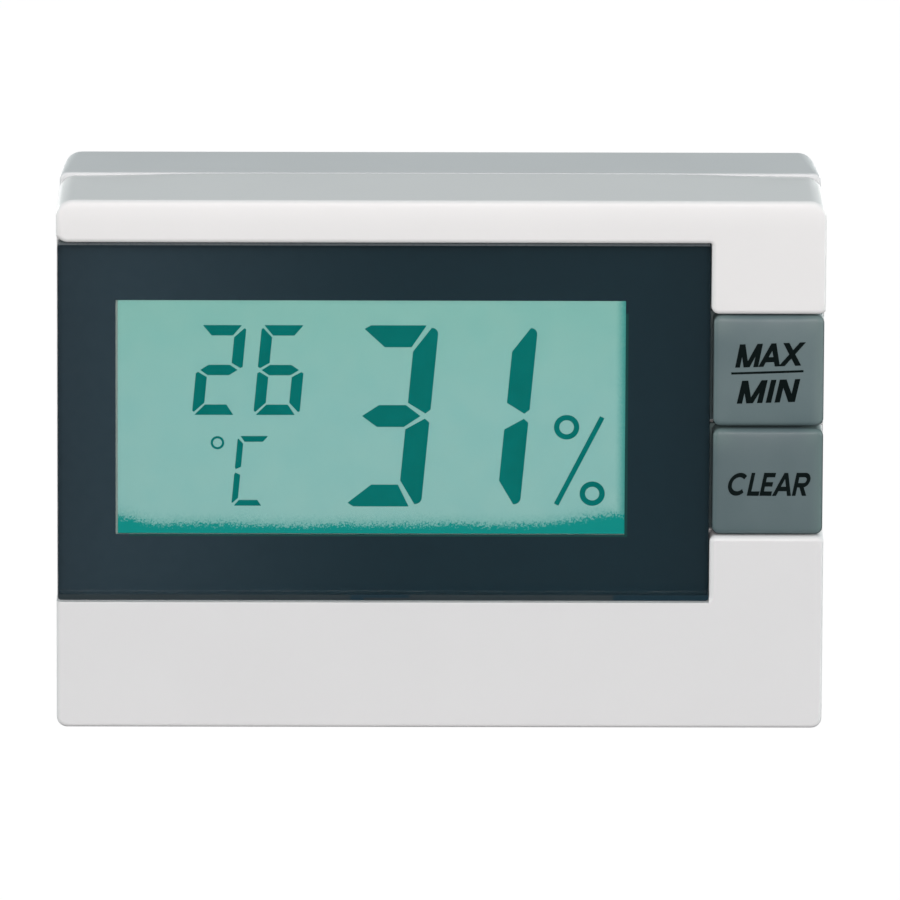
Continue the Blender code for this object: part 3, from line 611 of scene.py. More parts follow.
def materials():
    """Every finish, by name."""
    return {
        "white": white_material(),
        # The rear shell, stand and cover take a darker, cooler copy of the housing white: painted shade.
        "white_back": moulded("abs_white_back", (0.702, 0.720, 0.722), (0.722, 0.740, 0.742), (0.40, 0.50)),
        "natural": moulded("abs_natural", (0.70, 0.70, 0.66), (0.75, 0.75, 0.71), (0.45, 0.55)),
        # Both buttons are one grey plastic: the clear button's copy is darker, as painted shade, and each
        # third colour is the painted highlight of its rims.
        "grey_max_min": grey_material("max_min", (0.108, 0.161, 0.170), (0.125, 0.180, 0.187),
                                      (0.148, 0.206, 0.205)),
        "grey_clear": grey_material("clear", (0.096, 0.144, 0.153), (0.111, 0.161, 0.169),
                                    (0.124, 0.184, 0.182)),
        "ink": moulded("label_ink", (0.002, 0.006, 0.006), (0.004, 0.009, 0.009), (0.5, 0.65), specular=0.05),
        "pane": pane_material(),
        # The upper chamfer's lighter grey is partly its frosted cut edge and partly a painted highlight of
        # light from above; the lower chamfer and left wall keep the darker acrylic edge colour.
        "pane_edge_frost_and_sheen": moulded("acrylic_edge", (0.085, 0.103, 0.112), (0.105, 0.124, 0.132), (0.25, 0.4),
                             grain=4000.0),
        "pane_foot": moulded("acrylic_foot", (0.020, 0.033, 0.038), (0.028, 0.042, 0.048), (0.45, 0.6),
                             grain=4000.0, specular=0.2),
        "mask": mask_material(),
        "adhesive": moulded("adhesive", (0.010, 0.010, 0.010), (0.022, 0.022, 0.022), (0.7, 0.9),
                            grain=3000.0, depth=1e-5),
        "film": film_material(),
        "segment": moulded("segment_teal", (0.0002, 0.196, 0.177), (0.0006, 0.214, 0.196), (0.5, 0.6),
                           patch=600.0, specular=0.0),
        "glass": moulded("glass_edge", (0.62, 0.74, 0.70), (0.70, 0.80, 0.76), (0.08, 0.15), grain=900.0),
        "reflector": moulded("reflector", (0.50, 0.60, 0.55), (0.60, 0.70, 0.64), (0.3, 0.45), metallic=0.6,
                             stretch=(0.05, 1, 1)),
        "rubber": moulded("elastomer", (0.30, 0.31, 0.33), (0.38, 0.39, 0.41), (0.65, 0.8), grain=3000.0,
                          depth=1e-5, stretch=(4, 0.2, 0.2)),
        "board": board_material(),
        "epoxy": moulded("epoxy", (0.008, 0.008, 0.010), (0.016, 0.016, 0.018), (0.22, 0.35), grain=2500.0),
        "steel": moulded("steel", (0.52, 0.52, 0.50), (0.66, 0.66, 0.64), (0.22, 0.38), metallic=1.0,
                         grain=9000.0, stretch=(0.08, 1, 1)),
        "tin": moulded("spring_steel", (0.62, 0.59, 0.53), (0.76, 0.73, 0.67), (0.2, 0.35), metallic=1.0,
                       grain=9000.0, stretch=(1, 1, 0.08)),
        "ceramic": moulded("ceramic", (0.44, 0.30, 0.18), (0.55, 0.40, 0.26), (0.45, 0.6), grain=5000.0,
                           depth=6e-6),
        "resin": moulded("resin", (0.03, 0.17, 0.11), (0.06, 0.25, 0.17), (0.25, 0.4), grain=3000.0),
    }


# ---------------------------------------------------------------- housing

def crown(points):
    """Sets a ring back where the front face falls away towards its top."""
    reach = HEIGHT - CROWN_LOW
    return [(x, y + CROWN_DEPTH * (max(0.0, z - CROWN_LOW) / reach) ** 2, z) for x, y, z in points]


def sag(points):
    """Lowers the top of a ring, a little along its middle and more near both ends."""
    lowered = []
    for x, y, z in points:
        share = min(1.0, max(0.0, abs(x) - SAG_START) / SAG_RUN)
        drop = SAG_MIDDLE * (x / HALF) ** 2 + SAG_END * share * share * (3 - 2 * share)
        lowered.append((x, y, z - drop if z > CROWN_LOW else z))
    return lowered


def front_skin():
    """The front shell's closed outside: a face with a soft crown, a rounded edge and drafted sides."""
    rings = []
    for share in (1.0, 0.8, 0.6, 0.4, 0.2):
        side = FRONT_RIM + 0.2 * share
        top = FRONT_RIM + (HEIGHT - FRONT_RIM - CROWN_LOW) * share
        face = four(side - HALF, side, HALF - side, HEIGHT - top, CORNER_LOW - side, FRONT_CORNER - side)
        rings.append(ring(FRONT, rounded(face)))
    rings += rim(four(-HALF, 0.0, HALF, HEIGHT, CORNER_LOW, FRONT_CORNER), FRONT, FRONT_RIM, 1)
    rings = [crown(points) for points in rings]
    edge = four(DRAFT - HALF, 0.0, HALF - DRAFT, HEIGHT - DRAFT, CORNER_LOW, FRONT_CORNER)
    rings = dense(rings + [ring(PARTING - SEAM, rounded(edge))], 0.8)
    return loft(rings[:-1] + [sag(rings[-1])])


def front_shell(white):
    """Front shell: a sunk band for the pane and an open notch for the buttons, with soft edges."""
    beyond = HALF + 2.0
    flare_low = BAND_LOW + BAND_FLARE - BAND_LIP
    band = [(-beyond, flare_low, 0.05), (BAND_RIGHT, flare_low, 0.15),
            (BAND_RIGHT, NOTCH_LOW, 0.5), (HALF - NOTCH_TURN, NOTCH_LOW, 0.5),
            (beyond, NOTCH_LOW - NOTCH_SPREAD, 0.05), (beyond, NOTCH_HIGH + NOTCH_SPREAD, 0.05),
            (HALF - NOTCH_TURN, NOTCH_HIGH, 0.5), (BAND_RIGHT, NOTCH_HIGH, 0.6),
            (BAND_RIGHT, BAND_HIGH, 0.15), (-HALF + BAND_TURN, BAND_HIGH, 1.0),
            (-beyond, BAND_HIGH + BAND_SPREAD, 0.05)]
    notch = four(BAND_RIGHT - 0.35, NOTCH_LOW, beyond, NOTCH_HIGH, 0.15)
    # The cavity, deeper below the band and in the upper right corner
    steps = cut(
        block((-INNER, NOTCH_BACK, WALL), (INNER, PARTING + 2, HEIGHT - WALL)),
        block((-INNER, BAND_BACK, WALL), (19.6, NOTCH_BACK + 0.4, HEIGHT - WALL)),
        block((-INNER, FRONT + WALL, WALL), (INNER, NOTCH_BACK + 0.3, 8.6)),
        block((21.9, FRONT + WALL, 34.25), (INNER, NOTCH_BACK + 0.3, HEIGHT - WALL)))
    for x, z in HOUSING_SCREWS:
        behind_band = x < 0 and z > BAND_LOW
        root = BAND_FLOOR + 0.5 if behind_band else FRONT + 1.0
        steps += add(rod(x, z, HOUSING_POST, root, PARTING - 0.05))
    for x, z in BOARD_SCREWS:
        root = FRONT + 1.0 if z < BAND_LOW else BAND_FLOOR + 0.6
        steps += add(rod(x, z, BOARD_POST, root, BOARD_FRONT))
    steps += cut(
        pocket(band, FRONT, BAND_FLOOR, BAND_FLARE),
        block((-beyond, FRONT - 1, BAND_LOW), (BAND_RIGHT, BAND_FLOOR, flare_low + 0.5)),
        block((GLASS_LOW.x - 0.5, BAND_FLOOR - 1, GLASS_LOW.z - 0.3),
              (GLASS_HIGH.x + 0.5, BAND_BACK + 1, GLASS_HIGH.z + 0.4)),
        extrude(rounded(notch), FRONT - 1, NOTCH_FLOOR))
    hole = STEM_HALF + STEM_PLAY
    for low, high in BUTTON_BOX.values():
        middle = (low.z + high.z) / 2
        steps += cut(block((BUTTON_X - hole, NOTCH_FLOOR - 1, middle - hole),
                           (BUTTON_X + hole, NOTCH_BACK + 1, middle + hole)))
    steps += cut(*rods(HOUSING_SCREWS, HOUSING_HOLE, -3.2, PARTING + 1),
                 *rods(BOARD_SCREWS, BOARD_HOLE, -4.2, 0.0))
    piece("front_shell", sculpt(front_skin(), steps), white, "case", ["front_housing"])


def rear_skin():
    """The rear shell's closed outside, narrower towards the back."""
    face = four(-HALF + DRAFT + REAR_INSET_SIDE, 0.0, HALF - DRAFT - REAR_INSET_SIDE,
                HEIGHT - DRAFT + REAR_LEDGE_TOP, CORNER_LOW, REAR_CORNER_FRONT)
    edge = four(-HALF + REAR_TAPER_SIDE, 0.0, HALF - REAR_TAPER_SIDE, HEIGHT - REAR_TAPER_TOP,
                CORNER_LOW, REAR_CORNER_BACK)
    return loft(rim(face, PARTING + SEAM, REAR_LIP, 1) + list(reversed(rim(edge, BACK, REAR_RIM, -1))))


def lips():
    """Steps that add the four lips which enter the front shell, and their roots, as x0, z0, x1, z1."""
    tips = [(-20, 1.75, 20, 2.5), (-20, 38.7, 14, 39.5), (-27.2, 8, -26.4, 34), (26.4, 24.5, 27.2, 34)]
    roots = [(-20, 0.8, 20, 2.5), (-20, 38.7, 14, 40.2), (-28, 8, -26.4, 34), (26.4, 24.5, 28, 34)]
    blocks = [block((x0, PARTING - 0.6, z0), (x1, PARTING + 1, z1)) for x0, z0, x1, z1 in tips]
    blocks += [block((x0, PARTING + 0.5, z0), (x1, PARTING + 1.6, z1)) for x0, z0, x1, z1 in roots]
    return add(*blocks)


def battery_well():
    """Steps that open the battery's cup, the cover's seat and ledge, and the two slots for its lugs."""
    steps = cut(
        rod(AXIS_X, AXIS_Z, CUP_INNER, 0.0, BACK + 1),
        rod(AXIS_X, AXIS_Z, SEAT_RADIUS, LEDGE_FRONT, BACK + 1),
        rod(AXIS_X, AXIS_Z, LUG_ROOM, LEDGE_FRONT, LEDGE_BACK),
        turned([(MOUTH_RADIUS, 6.85), (MOUTH_RADIUS, BACK - 0.15), (MOUTH_RADIUS + 0.3, BACK + 0.15)]),
        block((AXIS_X - 1.8, 0.5, AXIS_Z + 5.0), (AXIS_X + 1.8, 4.4, AXIS_Z + 8.5)))
    for around in (0, 180):
        steps += cut(sector(CUP_INNER - 0.05, LUG_ROOM, around + COVER_TURN, LUG_SPAN + 10.0, 5.5, BACK + 1))
    return steps


def rear_shell(white):
    """Rear shell: lips, screw posts, stand recess, battery well, vents and two index marks."""
    steps = cut(block((-INNER, PARTING - 1, WALL), (INNER, BACK - WALL, HEIGHT - WALL - 0.3)))
    steps += add(*rods(HOUSING_SCREWS, REAR_POST, PARTING + 0.05, BACK - 1))
    steps += lips()
    steps += add(
        block((-RECESS_HALF - 1.2, RECESS_FLOOR - 1.2, 0.9),
              (RECESS_HALF + 1.2, BACK - 1, RECESS_HIGH + 1.3)),
        rod(AXIS_X, AXIS_Z, WELL_OUTER, 4.4, BACK - 1),
        rod(AXIS_X, AXIS_Z, CUP_OUTER, 1.35, BACK - 2))
    steps += battery_well()
    recess = four(-RECESS_HALF, RECESS_LOW, RECESS_HALF, RECESS_HIGH, 0.3)
    thumb = [(2.3, 6.3), (2.65, 6.45), (2.8, 6.8), (2.8, BACK - 0.2), (3.0, BACK + 0.05)]
    steps += cut(
        pocket(recess, BACK, RECESS_FLOOR, 0.2),
        axle(HINGE_Y, HINGE_Z, PIN_RADIUS + PIN_PLAY, -RECESS_HALF - 0.8, RECESS_HALF + 0.8),
        turned(thumb, 0.0, 4.2))
    for row in range(VENT_ROWS):
        z = VENT_LOW + VENT_PITCH * row
        slot = four(VENT_LEFT, z, VENT_RIGHT, z + VENT_TALL, 0.58)
        steps += cut(pocket(slot, BACK, BACK - 2.5, 0.12))
    steps += cut(*rods(HOUSING_SCREWS, REAR_HOLE, PARTING - 1, BACK))
    well = [(HEAD_HOLE, HEAD_SEAT), (HEAD_HOLE, BACK - 0.2), (HEAD_HOLE + 0.35, BACK + 0.15)]
    steps += cut(*[turned(well, x, z, 64) for x, z in HOUSING_SCREWS])
    for turn in (90.0, 90.0 + COVER_TURN):
        mark = Vector((cos(radians(turn)), sin(radians(turn)))) * 9.6
        steps += cut(rod(AXIS_X + mark.x, AXIS_Z + mark.y, 0.45, BACK - 0.15, BACK + 1, sides=32))
    piece("rear_shell", sculpt(rear_skin(), steps), white, "case", ["rear_housing"])


def stand(white):
    """The fold-out plate, with rounded edges, a round knuckle, hinge stubs and finger grooves."""
    outline = [(LEG_FOOT, LEG_FRONT), (LEG_FOOT, LEG_BACK - 0.6), (LEG_FOOT + 0.6, LEG_BACK),
               (HINGE_Z - 1.6, LEG_BACK)]
    outline += [(HINGE_Z + sin(radians(t)), HINGE_Y + cos(radians(t)))
                for t in range(-40, 91, 10)]
    outline += [(HINGE_Z - 0.8, 6.0), (HINGE_Z - 2.0, LEG_FRONT)]
    shape = bmesh.new()
    left, right = [[shape.verts.new((x, y, z)) for z, y in outline] for x in (-LEG_HALF, LEG_HALF)]
    for i in range(len(outline)):
        j = (i + 1) % len(outline)
        shape.faces.new((left[i], left[j], right[j], right[i]))
    shape.faces.new(left)
    shape.faces.new(right)
    ends = [edge for edge in shape.edges if abs(edge.verts[0].co.x - edge.verts[1].co.x) < 1e-6]
    bmesh.ops.bevel(shape, geom=ends, offset=0.18, offset_type="OFFSET", segments=3, profile=0.5,
                    affect="EDGES", clamp_overlap=True)
    steps = add(axle(HINGE_Y, HINGE_Z, PIN_RADIUS, -RECESS_HALF - 0.6, RECESS_HALF + 0.6))
    for z in (9.0, 11.2, 13.4):
        steps += cut(pocket(four(-5.0, z, 5.0, z + 1.0, 0.45), LEG_BACK, LEG_BACK - 0.35, 0.12))
    piece("stand_plate", sculpt(finish_mesh(shape), steps), white, "stand", ["stand_leg"])


def cover(white):
    """Round battery cover with a coin slot, a rim and two locking lugs."""
    back = BACK - 0.1
    bend = 0.25
    profile = [(SKIRT_INNER, COVER_INNER), (SKIRT_INNER, SKIRT_FRONT), (SKIRT_OUTER, SKIRT_FRONT),
               (SKIRT_OUTER, COVER_INNER), (COVER_RADIUS - 0.1, COVER_INNER),
               (COVER_RADIUS, COVER_INNER + 0.1)]
    profile += [(COVER_RADIUS - bend + bend * cos(t), back - bend + bend * sin(t))
                for t in (radians(15 * i) for i in range(7))]
    steps = add(*[sector(LUG_INNER, LUG_OUTER, around, LUG_SPAN, SKIRT_FRONT, LUG_BACK)
                  for around in (0, 180)])
    slot = four(AXIS_X - SLOT_HALF, AXIS_Z - SLOT_TALL, AXIS_X + SLOT_HALF, AXIS_Z + SLOT_TALL, 0.75)
    steps += cut(pocket(slot, back, BACK - 0.75, 0.12))
    steps += cut(rod(AXIS_X, AXIS_Z + 6.6, 0.4, back - 0.15, BACK + 1, sides=32))
    piece("coin_cover", sculpt(turned(profile), steps), white, "cover", ["battery_cover"])


# ---------------------------------------------------------------- display

def window(pane, pane_edge_frost_and_sheen, pane_foot, mask):
    """The clear pane with a chamfered rim and a moulding gate, and the ink mask behind it."""
    left, low, high = PANE_LOW.x, PANE_LOW.z, PANE_HIGH.z
    face = four(left + CHAMFER_SIDE, low + CHAMFER_LOW, PANE_RIGHT - CHAMFER_SIDE, high - CHAMFER_TOP, 0.2)
    edge = rounded(four(left, low, PANE_RIGHT, high, PANE_CORNER))
    rings = [ring(PANE_LOW.y, rounded(face)), ring(PANE_LOW.y + CHAMFER_DEPTH, edge), ring(PANE_HIGH.y, edge)]
    gate_low = Vector((GATE_LEFT, PANE_LOW.y - 1, low + GATE_RISE))
    gate_high = Vector((GATE_RIGHT, PANE_LOW.y + GATE_DEPTH, low + GATE_RISE + GATE_HEIGHT))
    mesh = sculpt(loft(dense(rings, 1.0)), cut(block(gate_low, gate_high)))
    finishes = [pane, pane_edge_frost_and_sheen, mask, pane_foot]
    piece("window_pane", mesh, finishes, "case", ["display_window"])
    for polygon in mesh.polygons:
        normal, middle = polygon.normal, polygon.center / MM
        chamfer = 0.1 < abs(normal.y) < 0.98 and abs(normal.z) > 0.1
        foot = chamfer and normal.z < 0
        gate = GATE_LEFT <= middle.x <= GATE_RIGHT and gate_low.z <= middle.z <= gate_high.z
        # Painted shade: the right walls take the mask's ink so that the gap beside the buttons stays dark;
        # the gate and the lower chamfer past EDGE_END take the ink too.
        if (foot and middle.x > EDGE_END) or gate or normal.x > 0.5:
            polygon.material_index = finishes.index(mask)
        elif foot or normal.x < -0.5:
            polygon.material_index = finishes.index(pane_foot)
        # Painted highlight, partly frosted edge: the upper chamfers take the lighter edge grey.
        elif chamfer:
            polygon.material_index = finishes.index(pane_edge_frost_and_sheen)
    inset = 0.01
    outer = four(left + inset, low + inset, PANE_RIGHT - inset, high - inset, PANE_CORNER)
    view = four(VIEW_LEFT, VIEW_LOW, VIEW_RIGHT, VIEW_HIGH, 0.05)
    sheet = sculpt(extrude(rounded(outer), MASK_FRONT, MASK_BACK),
                   cut(extrude(rounded(view), MASK_FRONT - 1, MASK_BACK + 1)))
    piece("window_mask", sheet, mask, "case")


class Digit:
    """Seven segments in an upright box, drawn with a lean to the right.

    Each outline is a list of (x, z, radius) corners in the upright box. The style gives the box, the
    widths of bars and posts, how far a post's mitred head and pointed foot stay from the bars, and how
    far the bars' ends stay from the sides.
    """

    def __init__(self, x, z, style):
        self.x, self.z = x, z
        self.style = style
        self.width, self.height = style["size"]

    def bar(self):
        """The top bar."""
        right = [(self.width - x, self.height - drop) for x, drop in self.style["bar_right"]]
        left = [(x, self.height - drop) for x, drop in self.style["bar_left"]]
        return [(x, z, SHARP) for x, z in right + left]

    def post(self):
        """The upper right post."""
        style, w, h = self.style, self.width, self.height
        inner = w - style["post"]
        tip_in, tip_drop = style["tip"]
        foot_in, foot_up, foot_side = style["foot"]
        return [(inner, (h + style["bar"]) / 2 + style["knee"], SHARP), (w - foot_in, h / 2 + foot_up, SHARP),
                (w, h / 2 + foot_side, SHARP), (w, h - tip_drop, style["soft"]),
                (w - tip_in, h - tip_drop, SHARP), (inner, h - style["bar"] - style["head"], SHARP)]

    def middle(self):
        """The middle bar, pointed at both ends."""
        half, centre = self.style["bar"] / 2, self.height / 2
        left_tip, left = self.style["middle_left"]
        right_tip, right = (self.width - x for x in self.style["middle_right"])
        return [(left_tip, centre, SHARP), (left, centre - half, SHARP), (right, centre - half, SHARP),
                (right_tip, centre, SHARP), (right, centre + half, SHARP), (left, centre + half, SHARP)]

    def segment(self, letter):
        """The outline of one of the segments a to g, in the upright box."""
        if letter == "g":
            return self.middle()
        corners = self.bar() if letter in "ad" else self.post()
        if letter in "cde":
            corners = [(x, self.height - z, radius) for x, z, radius in reversed(corners)]
        if letter in "ef":
            corners = [(self.width - x, z, radius) for x, z, radius in reversed(corners)]
        return corners

    def outlines(self, letters):
        """The leaning outlines of the lit segments."""
        upright = [self.segment(letter) for letter in letters]
        return [rounded([(self.x + x + SLANT * z, self.z + z, radius) for x, z, radius in corners], steps=4)
                for corners in upright]


def segments(finish):
    """The lit segments: 26 and its degree sign and C, 31 and its per cent sign."""
    outlines = [outline for x, z, style, lit in DIGITS for outline in Digit(x, z, style).outlines(lit)]
    low, high = (Vector(point) for point in SIGN_STROKE)
    across = (high - low).normalized().orthogonal() * (SIGN_STROKE_WIDTH / 2)
    outlines.append([low - across, high - across, high + across, low + across])
    behind = FILM_LOW.y + 0.01
    parts = [extrude(outline, SEGMENT_FRONT, behind) for outline in outlines]
    for x, z, outer, inner in SIGN_RINGS:
        hole = rod(x, z, inner, SEGMENT_FRONT - 1, behind + 1)
        parts.append(sculpt(rod(x, z, outer, SEGMENT_FRONT, behind), cut(hole)))
    shape = bmesh.new()
    for mesh in parts:
        shape.from_mesh(mesh)
    bmesh.ops.remove_doubles(shape, verts=shape.verts, dist=1e-9)
    bmesh.ops.recalc_face_normals(shape, faces=shape.faces)
    whole = bpy.data.meshes.new("segments")
    shape.to_mesh(whole)
    shape.free()
    piece("lcd_segments", whole, finish, "case")


def display(film, segment):
    """The display's ground, set in from the mask so that the glass shows as a thin pale line."""
    ground = four(VIEW_LEFT + PALE_LINE, FILM_LOW.z, FILM_HIGH.x, FILM_HIGH.z, 0.05)
    mesh = loft(rim(ground, GROUND_FRONT, 0.01, 1, steps=2) + [ring(FILM_HIGH.y, rounded(ground))])
    piece("lcd_ground", mesh, film, "case", ["lcd_front_polariser"])
    segments(segment)


# ---------------------------------------------------------------- buttons

def pillow(x, z, low, high):
    """How far the softly bulging face of a button lies behind its middle."""
    u = 2 * (x - low.x) / (high.x - low.x) - 1
    v = 2 * (z - low.z) / (high.z - low.z) - 1
    return PILLOW * (1 - max(0.0, 1 - u ** 4) * max(0.0, 1 - v ** 4))


def button(key, grey):
    """A cap with a bulging face and round rims, its flange, its stem, and the foot that holds it in."""
    low, high = BUTTON_BOX[key]
    corners = four(low.x, low.z, high.x, high.z, BUTTON_CORNER)
    outlines = [(BUTTON_BACK, 0.0)]
    outlines += [(FRONT + BUTTON_RIM * (1 - cos(t)), -BUTTON_RIM * (1 - sin(t)))
                 for t in (radians(90 - 11.25 * i) for i in range(9))]
    rings = dense([ring(y, rounded(corners, grow)) for y, grow in outlines], 0.7)
    middle = (low.z + high.z) / 2
    last = rings[-1]
    for step in range(1, FACE_RINGS):
        share = 1 - step / FACE_REACH
        rings.append([(BUTTON_X + (x - BUTTON_X) * share, y, middle + (z - middle) * share)
                      for x, y, z in last])
    rings = [[(x, y + (pillow(x, z, low, high) if y < FRONT + BUTTON_RIM else 0.0), z) for x, y, z in points]
             for points in rings]
    steps = add(
        block((BAND_RIGHT - 0.25, BUTTON_BACK - 0.2, low.z + 0.05),
              (low.x + 1.0, BUTTON_BACK + 0.1, high.z - 0.05)),
        block((BUTTON_X - STEM_HALF, BUTTON_BACK - 0.5, middle - STEM_HALF),
              (BUTTON_X + STEM_HALF, high.y, middle + STEM_HALF)),
        block((BUTTON_X - STEM_HALF, NOTCH_BACK + 0.1, middle - FOOT_HALF),
              (BUTTON_X + STEM_HALF, high.y, middle + FOOT_HALF)))
    piece(f"key_{key}", sculpt(loft(rings), steps), grey, f"{key}_button",
          [BUTTON_NODES[key]])


def stroke(path, width):
    """The outline of a line of the given width along a path."""
    sides = []
    for points in (path, path[::-1]):
        for number, here in enumerate(points):
            here = Vector(here)
            before = Vector(points[max(number - 1, 0)])
            after = Vector(points[min(number + 1, len(points) - 1)])
            first = (here - before).normalized() if number else (after - here).normalized()
            second = (after - here).normalized() if number < len(points) - 1 else first
            out = Vector((first.y + second.y, -first.x - second.x)) / (1 + first.dot(second))
            sides.append(here + out * width / 2)
    return sides


def arc(x, z, reach_x, reach_z, start, sweep, steps):
    """Points of an elliptic arc, angles in degrees from +X towards +Z."""
    turns = [radians(start + sweep * i / steps) for i in range(steps + 1)]
    return [(x + reach_x * cos(t), z + reach_z * sin(t)) for t in turns]


def letter(name, bold):
    """Width and paths of a capital letter one unit tall, drawn with strokes of the given width.

    Slanting strokes run past the letter's box, and lettering() trims them level.
    """
    half = bold / 2
    wide = {**LETTER_WIDTH, "I": bold}[name]
    left, right, foot, head, centre = half, wide - half, half, 1 - half, wide / 2
    stem = [(left, 0.0), (left, 1.0)]
    far_stem = [(right, 0.0), (right, 1.0)]
    lean = (centre - half * 1.1) * 1.1
    waist = 0.46
    reach = (head - waist) / 2
    bowl = arc(right - reach, waist + reach, reach, reach, 90, -180, 10)
    paths = {
        "M": [stem, far_stem, [(left * 0.7, 1.15), (centre, -0.05)],
              [(wide - left * 0.7, 1.15), (centre, -0.05)]],
        "N": [stem, far_stem, [(left * 0.6, 1.15), (wide - left * 0.6, -0.15)]],
        "A": [[(centre - lean, -0.1), (centre + 0.02, 1.04)], [(centre + lean, -0.1), (centre - 0.02, 1.04)],
              [(wide * 0.22, 0.30), (wide * 0.78, 0.30)]],
        "X": [[(half * 0.5, -0.15), (wide - half * 0.5, 1.15)],
              [(half * 0.5, 1.15), (wide - half * 0.5, -0.15)]],
        "C": [arc(centre, 0.5, right - centre, head - 0.5, 45, 270, 20)],
        "L": [[(left, 1.0), (left, foot), (wide, foot)]],
        "E": [stem, [(left, foot), (wide, foot)], [(left, 0.5), (wide * 0.92, 0.5)],
              [(left, head), (wide, head)]],
        "R": [stem, [(left, head), *bowl, (left, waist)], [(wide * 0.42, 0.5), (wide - half * 0.6, -0.15)]],
        "I": [stem],
    }
    return wide, paths[name]


def lettering(word, place_box, bold, gap):
    """A leaning word that fills the box x0, z0, x1, z1, as a thin bmesh in millimetres."""
    x0, z0, x1, z1 = place_box
    shape = bmesh.new()
    start = 0.0
    for number, name in enumerate(word):
        wide, paths = letter(name, bold)
        solids = [extrude(stroke(path, bold), INK_FRONT / MM, INK_BACK / MM) for path in paths]
        trim = block((0.0, -1 / MM, 0.0), (wide, 1 / MM, 1.0))
        mesh = sculpt(solids[0], add(*solids[1:]) + [("INTERSECT", trim)])
        grown = bmesh.new()
        grown.from_mesh(mesh)
        bmesh.ops.scale(grown, vec=(1 / MM, 1.0, 1 / MM), verts=grown.verts)
        bmesh.ops.translate(grown, vec=(start, 0.0, 0.0), verts=grown.verts)
        grown.to_mesh(mesh)
        grown.free()
        shape.from_mesh(mesh)
        start += wide + gap + KERNING.get(word[number:number + 2], 0.0)
    for vert in shape.verts:
        vert.co.x += LETTER_LEAN * vert.co.z
    low, high = min(v.co.x for v in shape.verts), max(v.co.x for v in shape.verts)
    for vert in shape.verts:
        vert.co.x = x0 + (x1 - x0) * (vert.co.x - low) / (high - low)
        vert.co.z = z0 + (z1 - z0) * vert.co.z
    return shape


def add_rule(shape, x0, z0, x1, z1):
    """Adds a straight rule to a label's bmesh, divided along its length so that it can follow the face."""
    verts = bmesh.ops.create_cube(shape, size=1.0)["verts"]
    for vert in verts:
        vert.co = (x1 if vert.co.x > 0 else x0, INK_FRONT if vert.co.y < 0 else INK_BACK,
                   z1 if vert.co.z > 0 else z0)
    long_edges = [edge for edge in shape.edges if edge.verts[0] in verts and edge.verts[1] in verts
                  and abs(edge.verts[0].co.x - edge.verts[1].co.x) > 1]
    bmesh.ops.subdivide_edges(shape, edges=long_edges, cuts=12)


def label(key, finish):
    """Pad-printed words on a button's face, a thin film of ink that follows it."""
    words, rules, tilt = LABELS[key]
    low, high = BUTTON_BOX[key]
    shape = bmesh.new()
    for word in words:
        part = lettering(*word)
        printed = bpy.data.meshes.new("word")
        part.to_mesh(printed)
        part.free()
        shape.from_mesh(printed)
    for rule in rules:
        add_rule(shape, *rule)
    centre = Vector((BUTTON_X, 0.0, (low.z + high.z) / 2))
    lean = Matrix.Rotation(radians(-tilt), 3, "Y")
    bmesh.ops.rotate(shape, verts=shape.verts, cent=centre, matrix=lean)
    for vert in shape.verts:
        vert.co.y += FRONT + pillow(vert.co.x, vert.co.z, low, high)
    piece(f"label_{key}", finish_mesh(shape), finish, f"{key}_button")


# ---------------------------------------------------------------- fasteners and inner pieces

def screw(node, finish):
    """A pan-head screw with a cross recess and a thread, in the place of a CAD screw."""
    low, high = box(node)
    x, z = (low.x + high.x) / 2, (low.z + high.z) / 2
    head = (high.x - low.x) / 2
    tall, slim = (1.2, 0.53) if head > 1.6 else (0.8, 0.46)
    head_y = high.y - tall
    shank, core = head * slim, head * slim * 0.8
    tip, pitch = 0.9, 0.8
    profile = [(shank * 0.1, low.y), (shank * 0.45, low.y + 0.1), (core, low.y + tip)]
    for turn in range(int((head_y - 0.8 - low.y - tip) / pitch)):
        start = low.y + tip + pitch * turn
        profile += [(core, start + 0.25), (shank, start + 0.4), (core, start + 0.55)]
    profile += [(core, head_y - 0.3), (shank, head_y), (head - 0.08, head_y), (head, head_y + 0.08),
                (head, head_y + tall * 0.45)]
    profile += [(head * cos(t), head_y + tall * (0.45 + 0.55 * sin(t)))
                for t in (radians(12 * i) for i in range(1, 7))]
    arm, width = head * 0.55, head * 0.14
    floor_y = high.y - tall * 0.55
    steps = cut(block((x - arm, floor_y, z - width), (x + arm, high.y + 1, z + width)),
                block((x - width, floor_y, z - arm), (x + width, high.y + 1, z + arm)))
    name = node.replace("housing_screw", "case_screw").replace("pcb_screw", "board_screw")
    piece(name, sculpt(turned(profile, x, z, 40), steps), finish, "case", [node])


def inner_pieces(finishes):
    """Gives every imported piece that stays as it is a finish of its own."""
    for node, finish in INNER_FINISHES.items():
        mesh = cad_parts[node].data
        mesh.materials.clear()
        mesh.materials.append(finishes[finish])


# ---------------------------------------------------------------- stage

def floor_material():
    """Pale paper: near white to the camera, dim in mirrors, and a soft grey for the light it gives back."""
    paper = Finish("floor_paper", 0.9)
    paper.tree.nodes.remove(paper.shader)
    diffuse = paper.node("BsdfDiffuse", {"Color": (0.3, 0.3, 0.3)}).outputs["BSDF"]
    white = paper.node("Emission", {"Strength": 1.1}).outputs["Emission"]
    dim = paper.node("Emission", {"Strength": 0.06}).outputs["Emission"]
    path = paper.node("LightPath")

    def mix(share, first, second):
        """Mixes two shaders."""
        return paper.node("MixShader", {"Fac": share, 1: first, 2: second}).outputs["Shader"]

    mirrored = mix(path.outputs["Is Glossy Ray"], diffuse, dim)
    shown = mix(path.outputs["Is Camera Ray"], mirrored, mix(0.9, diffuse, white))
    paper.feed(paper.output, {"Surface": shown})
    return paper.material


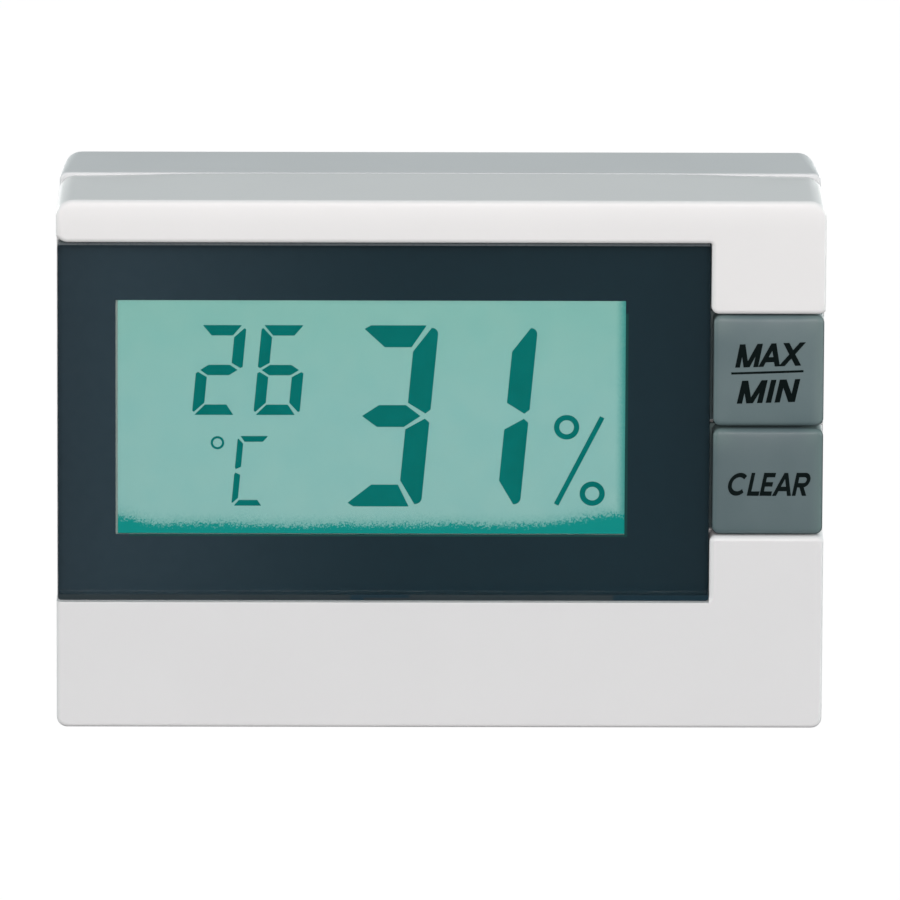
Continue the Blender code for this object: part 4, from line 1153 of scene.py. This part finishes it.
def floor():
    """A large pale floor that the camera sees almost white."""
    mesh = bpy.data.meshes.new("floor")
    corners = [(-1, -1), (1, -1), (1, 1), (-1, 1)]
    mesh.from_pydata([(x * FLOOR_REACH, y * FLOOR_REACH, 0) for x, y in corners], [], [(0, 1, 2, 3)])
    made = place("floor", mesh)
    made.location.z = -FLOOR_DROP
    mesh.materials.append(floor_material())


def direction(turn, tilt):
    """From the object, turn degrees from the front towards +X and tilt degrees up."""
    turn, tilt = radians(turn), radians(tilt)
    return Vector((sin(turn) * cos(tilt), -cos(turn) * cos(tilt), sin(tilt)))


def softbox(name, turn, tilt, size, power, colour):
    """A square area light aimed at the object, turn degrees from the front towards +X."""
    data = bpy.data.lights.new(name, "AREA")
    data.shape = "SQUARE"
    data.size = size
    data.energy = power
    data.color = colour
    made = place(name, data)
    away = direction(turn, tilt)
    made.location = LIGHT_AIM + away * LIGHT_DISTANCE
    made.rotation_euler = away.to_track_quat("Z", "Y").to_euler()
    made.visible_camera = False


def studio():
    """Soft light from the front, both sides and behind, an even cool sky, and plain colours."""
    world = bpy.data.worlds.new("studio")
    bpy.context.scene.world = world
    world.use_nodes = True
    sky = world.node_tree.nodes["Background"]
    sky.inputs["Color"].default_value = SKY_COLOUR
    sky.inputs["Strength"].default_value = SKY_STRENGTH
    for light in LIGHTS:
        softbox(*light)
    bpy.context.scene.view_settings.view_transform = "Standard"


def camera():
    """A long lens in front of and a little above the object."""
    data = bpy.data.cameras.new("camera")
    data.sensor_width = 36.0
    data.lens = CAMERA_LENS
    data.clip_start, data.clip_end = 0.05, 60.0
    made = place("camera", data)
    roll = radians(CAMERA_ROLL)
    ahead = -direction(-CAMERA_TURN, CAMERA_TILT)
    right = ahead.cross(Vector((0, 0, 1))).normalized()
    up = right.cross(ahead)
    right, up = (right * cos(roll) + up * sin(roll), up * cos(roll) - right * sin(roll))
    axes = Matrix((right, up, -ahead)).transposed().to_4x4()
    made.matrix_world = Matrix.Translation(CAMERA_TARGET - ahead * CAMERA_DISTANCE) @ axes
    bpy.context.scene.camera = made


def build():
    """Makes the stage and every shown piece."""
    finishes = materials()
    camera()
    studio()
    floor()
    front_shell(finishes["white"])
    rear_shell(finishes["white_back"])
    stand(finishes["white_back"])
    cover(finishes["white_back"])
    window(finishes["pane"], finishes["pane_edge_frost_and_sheen"], finishes["pane_foot"], finishes["mask"])
    display(finishes["film"], finishes["segment"])
    for key in BUTTON_NODES:
        button(key, finishes[f"grey_{key}"])
    for key in BUTTON_NODES:
        label(key, finishes["ink"])
    for number in range(1, 5):
        screw(f"housing_screw_{number}", finishes["steel"])
    for number in range(1, 4):
        screw(f"pcb_screw_{number}", finishes["steel"])
    inner_pieces(finishes)


build()
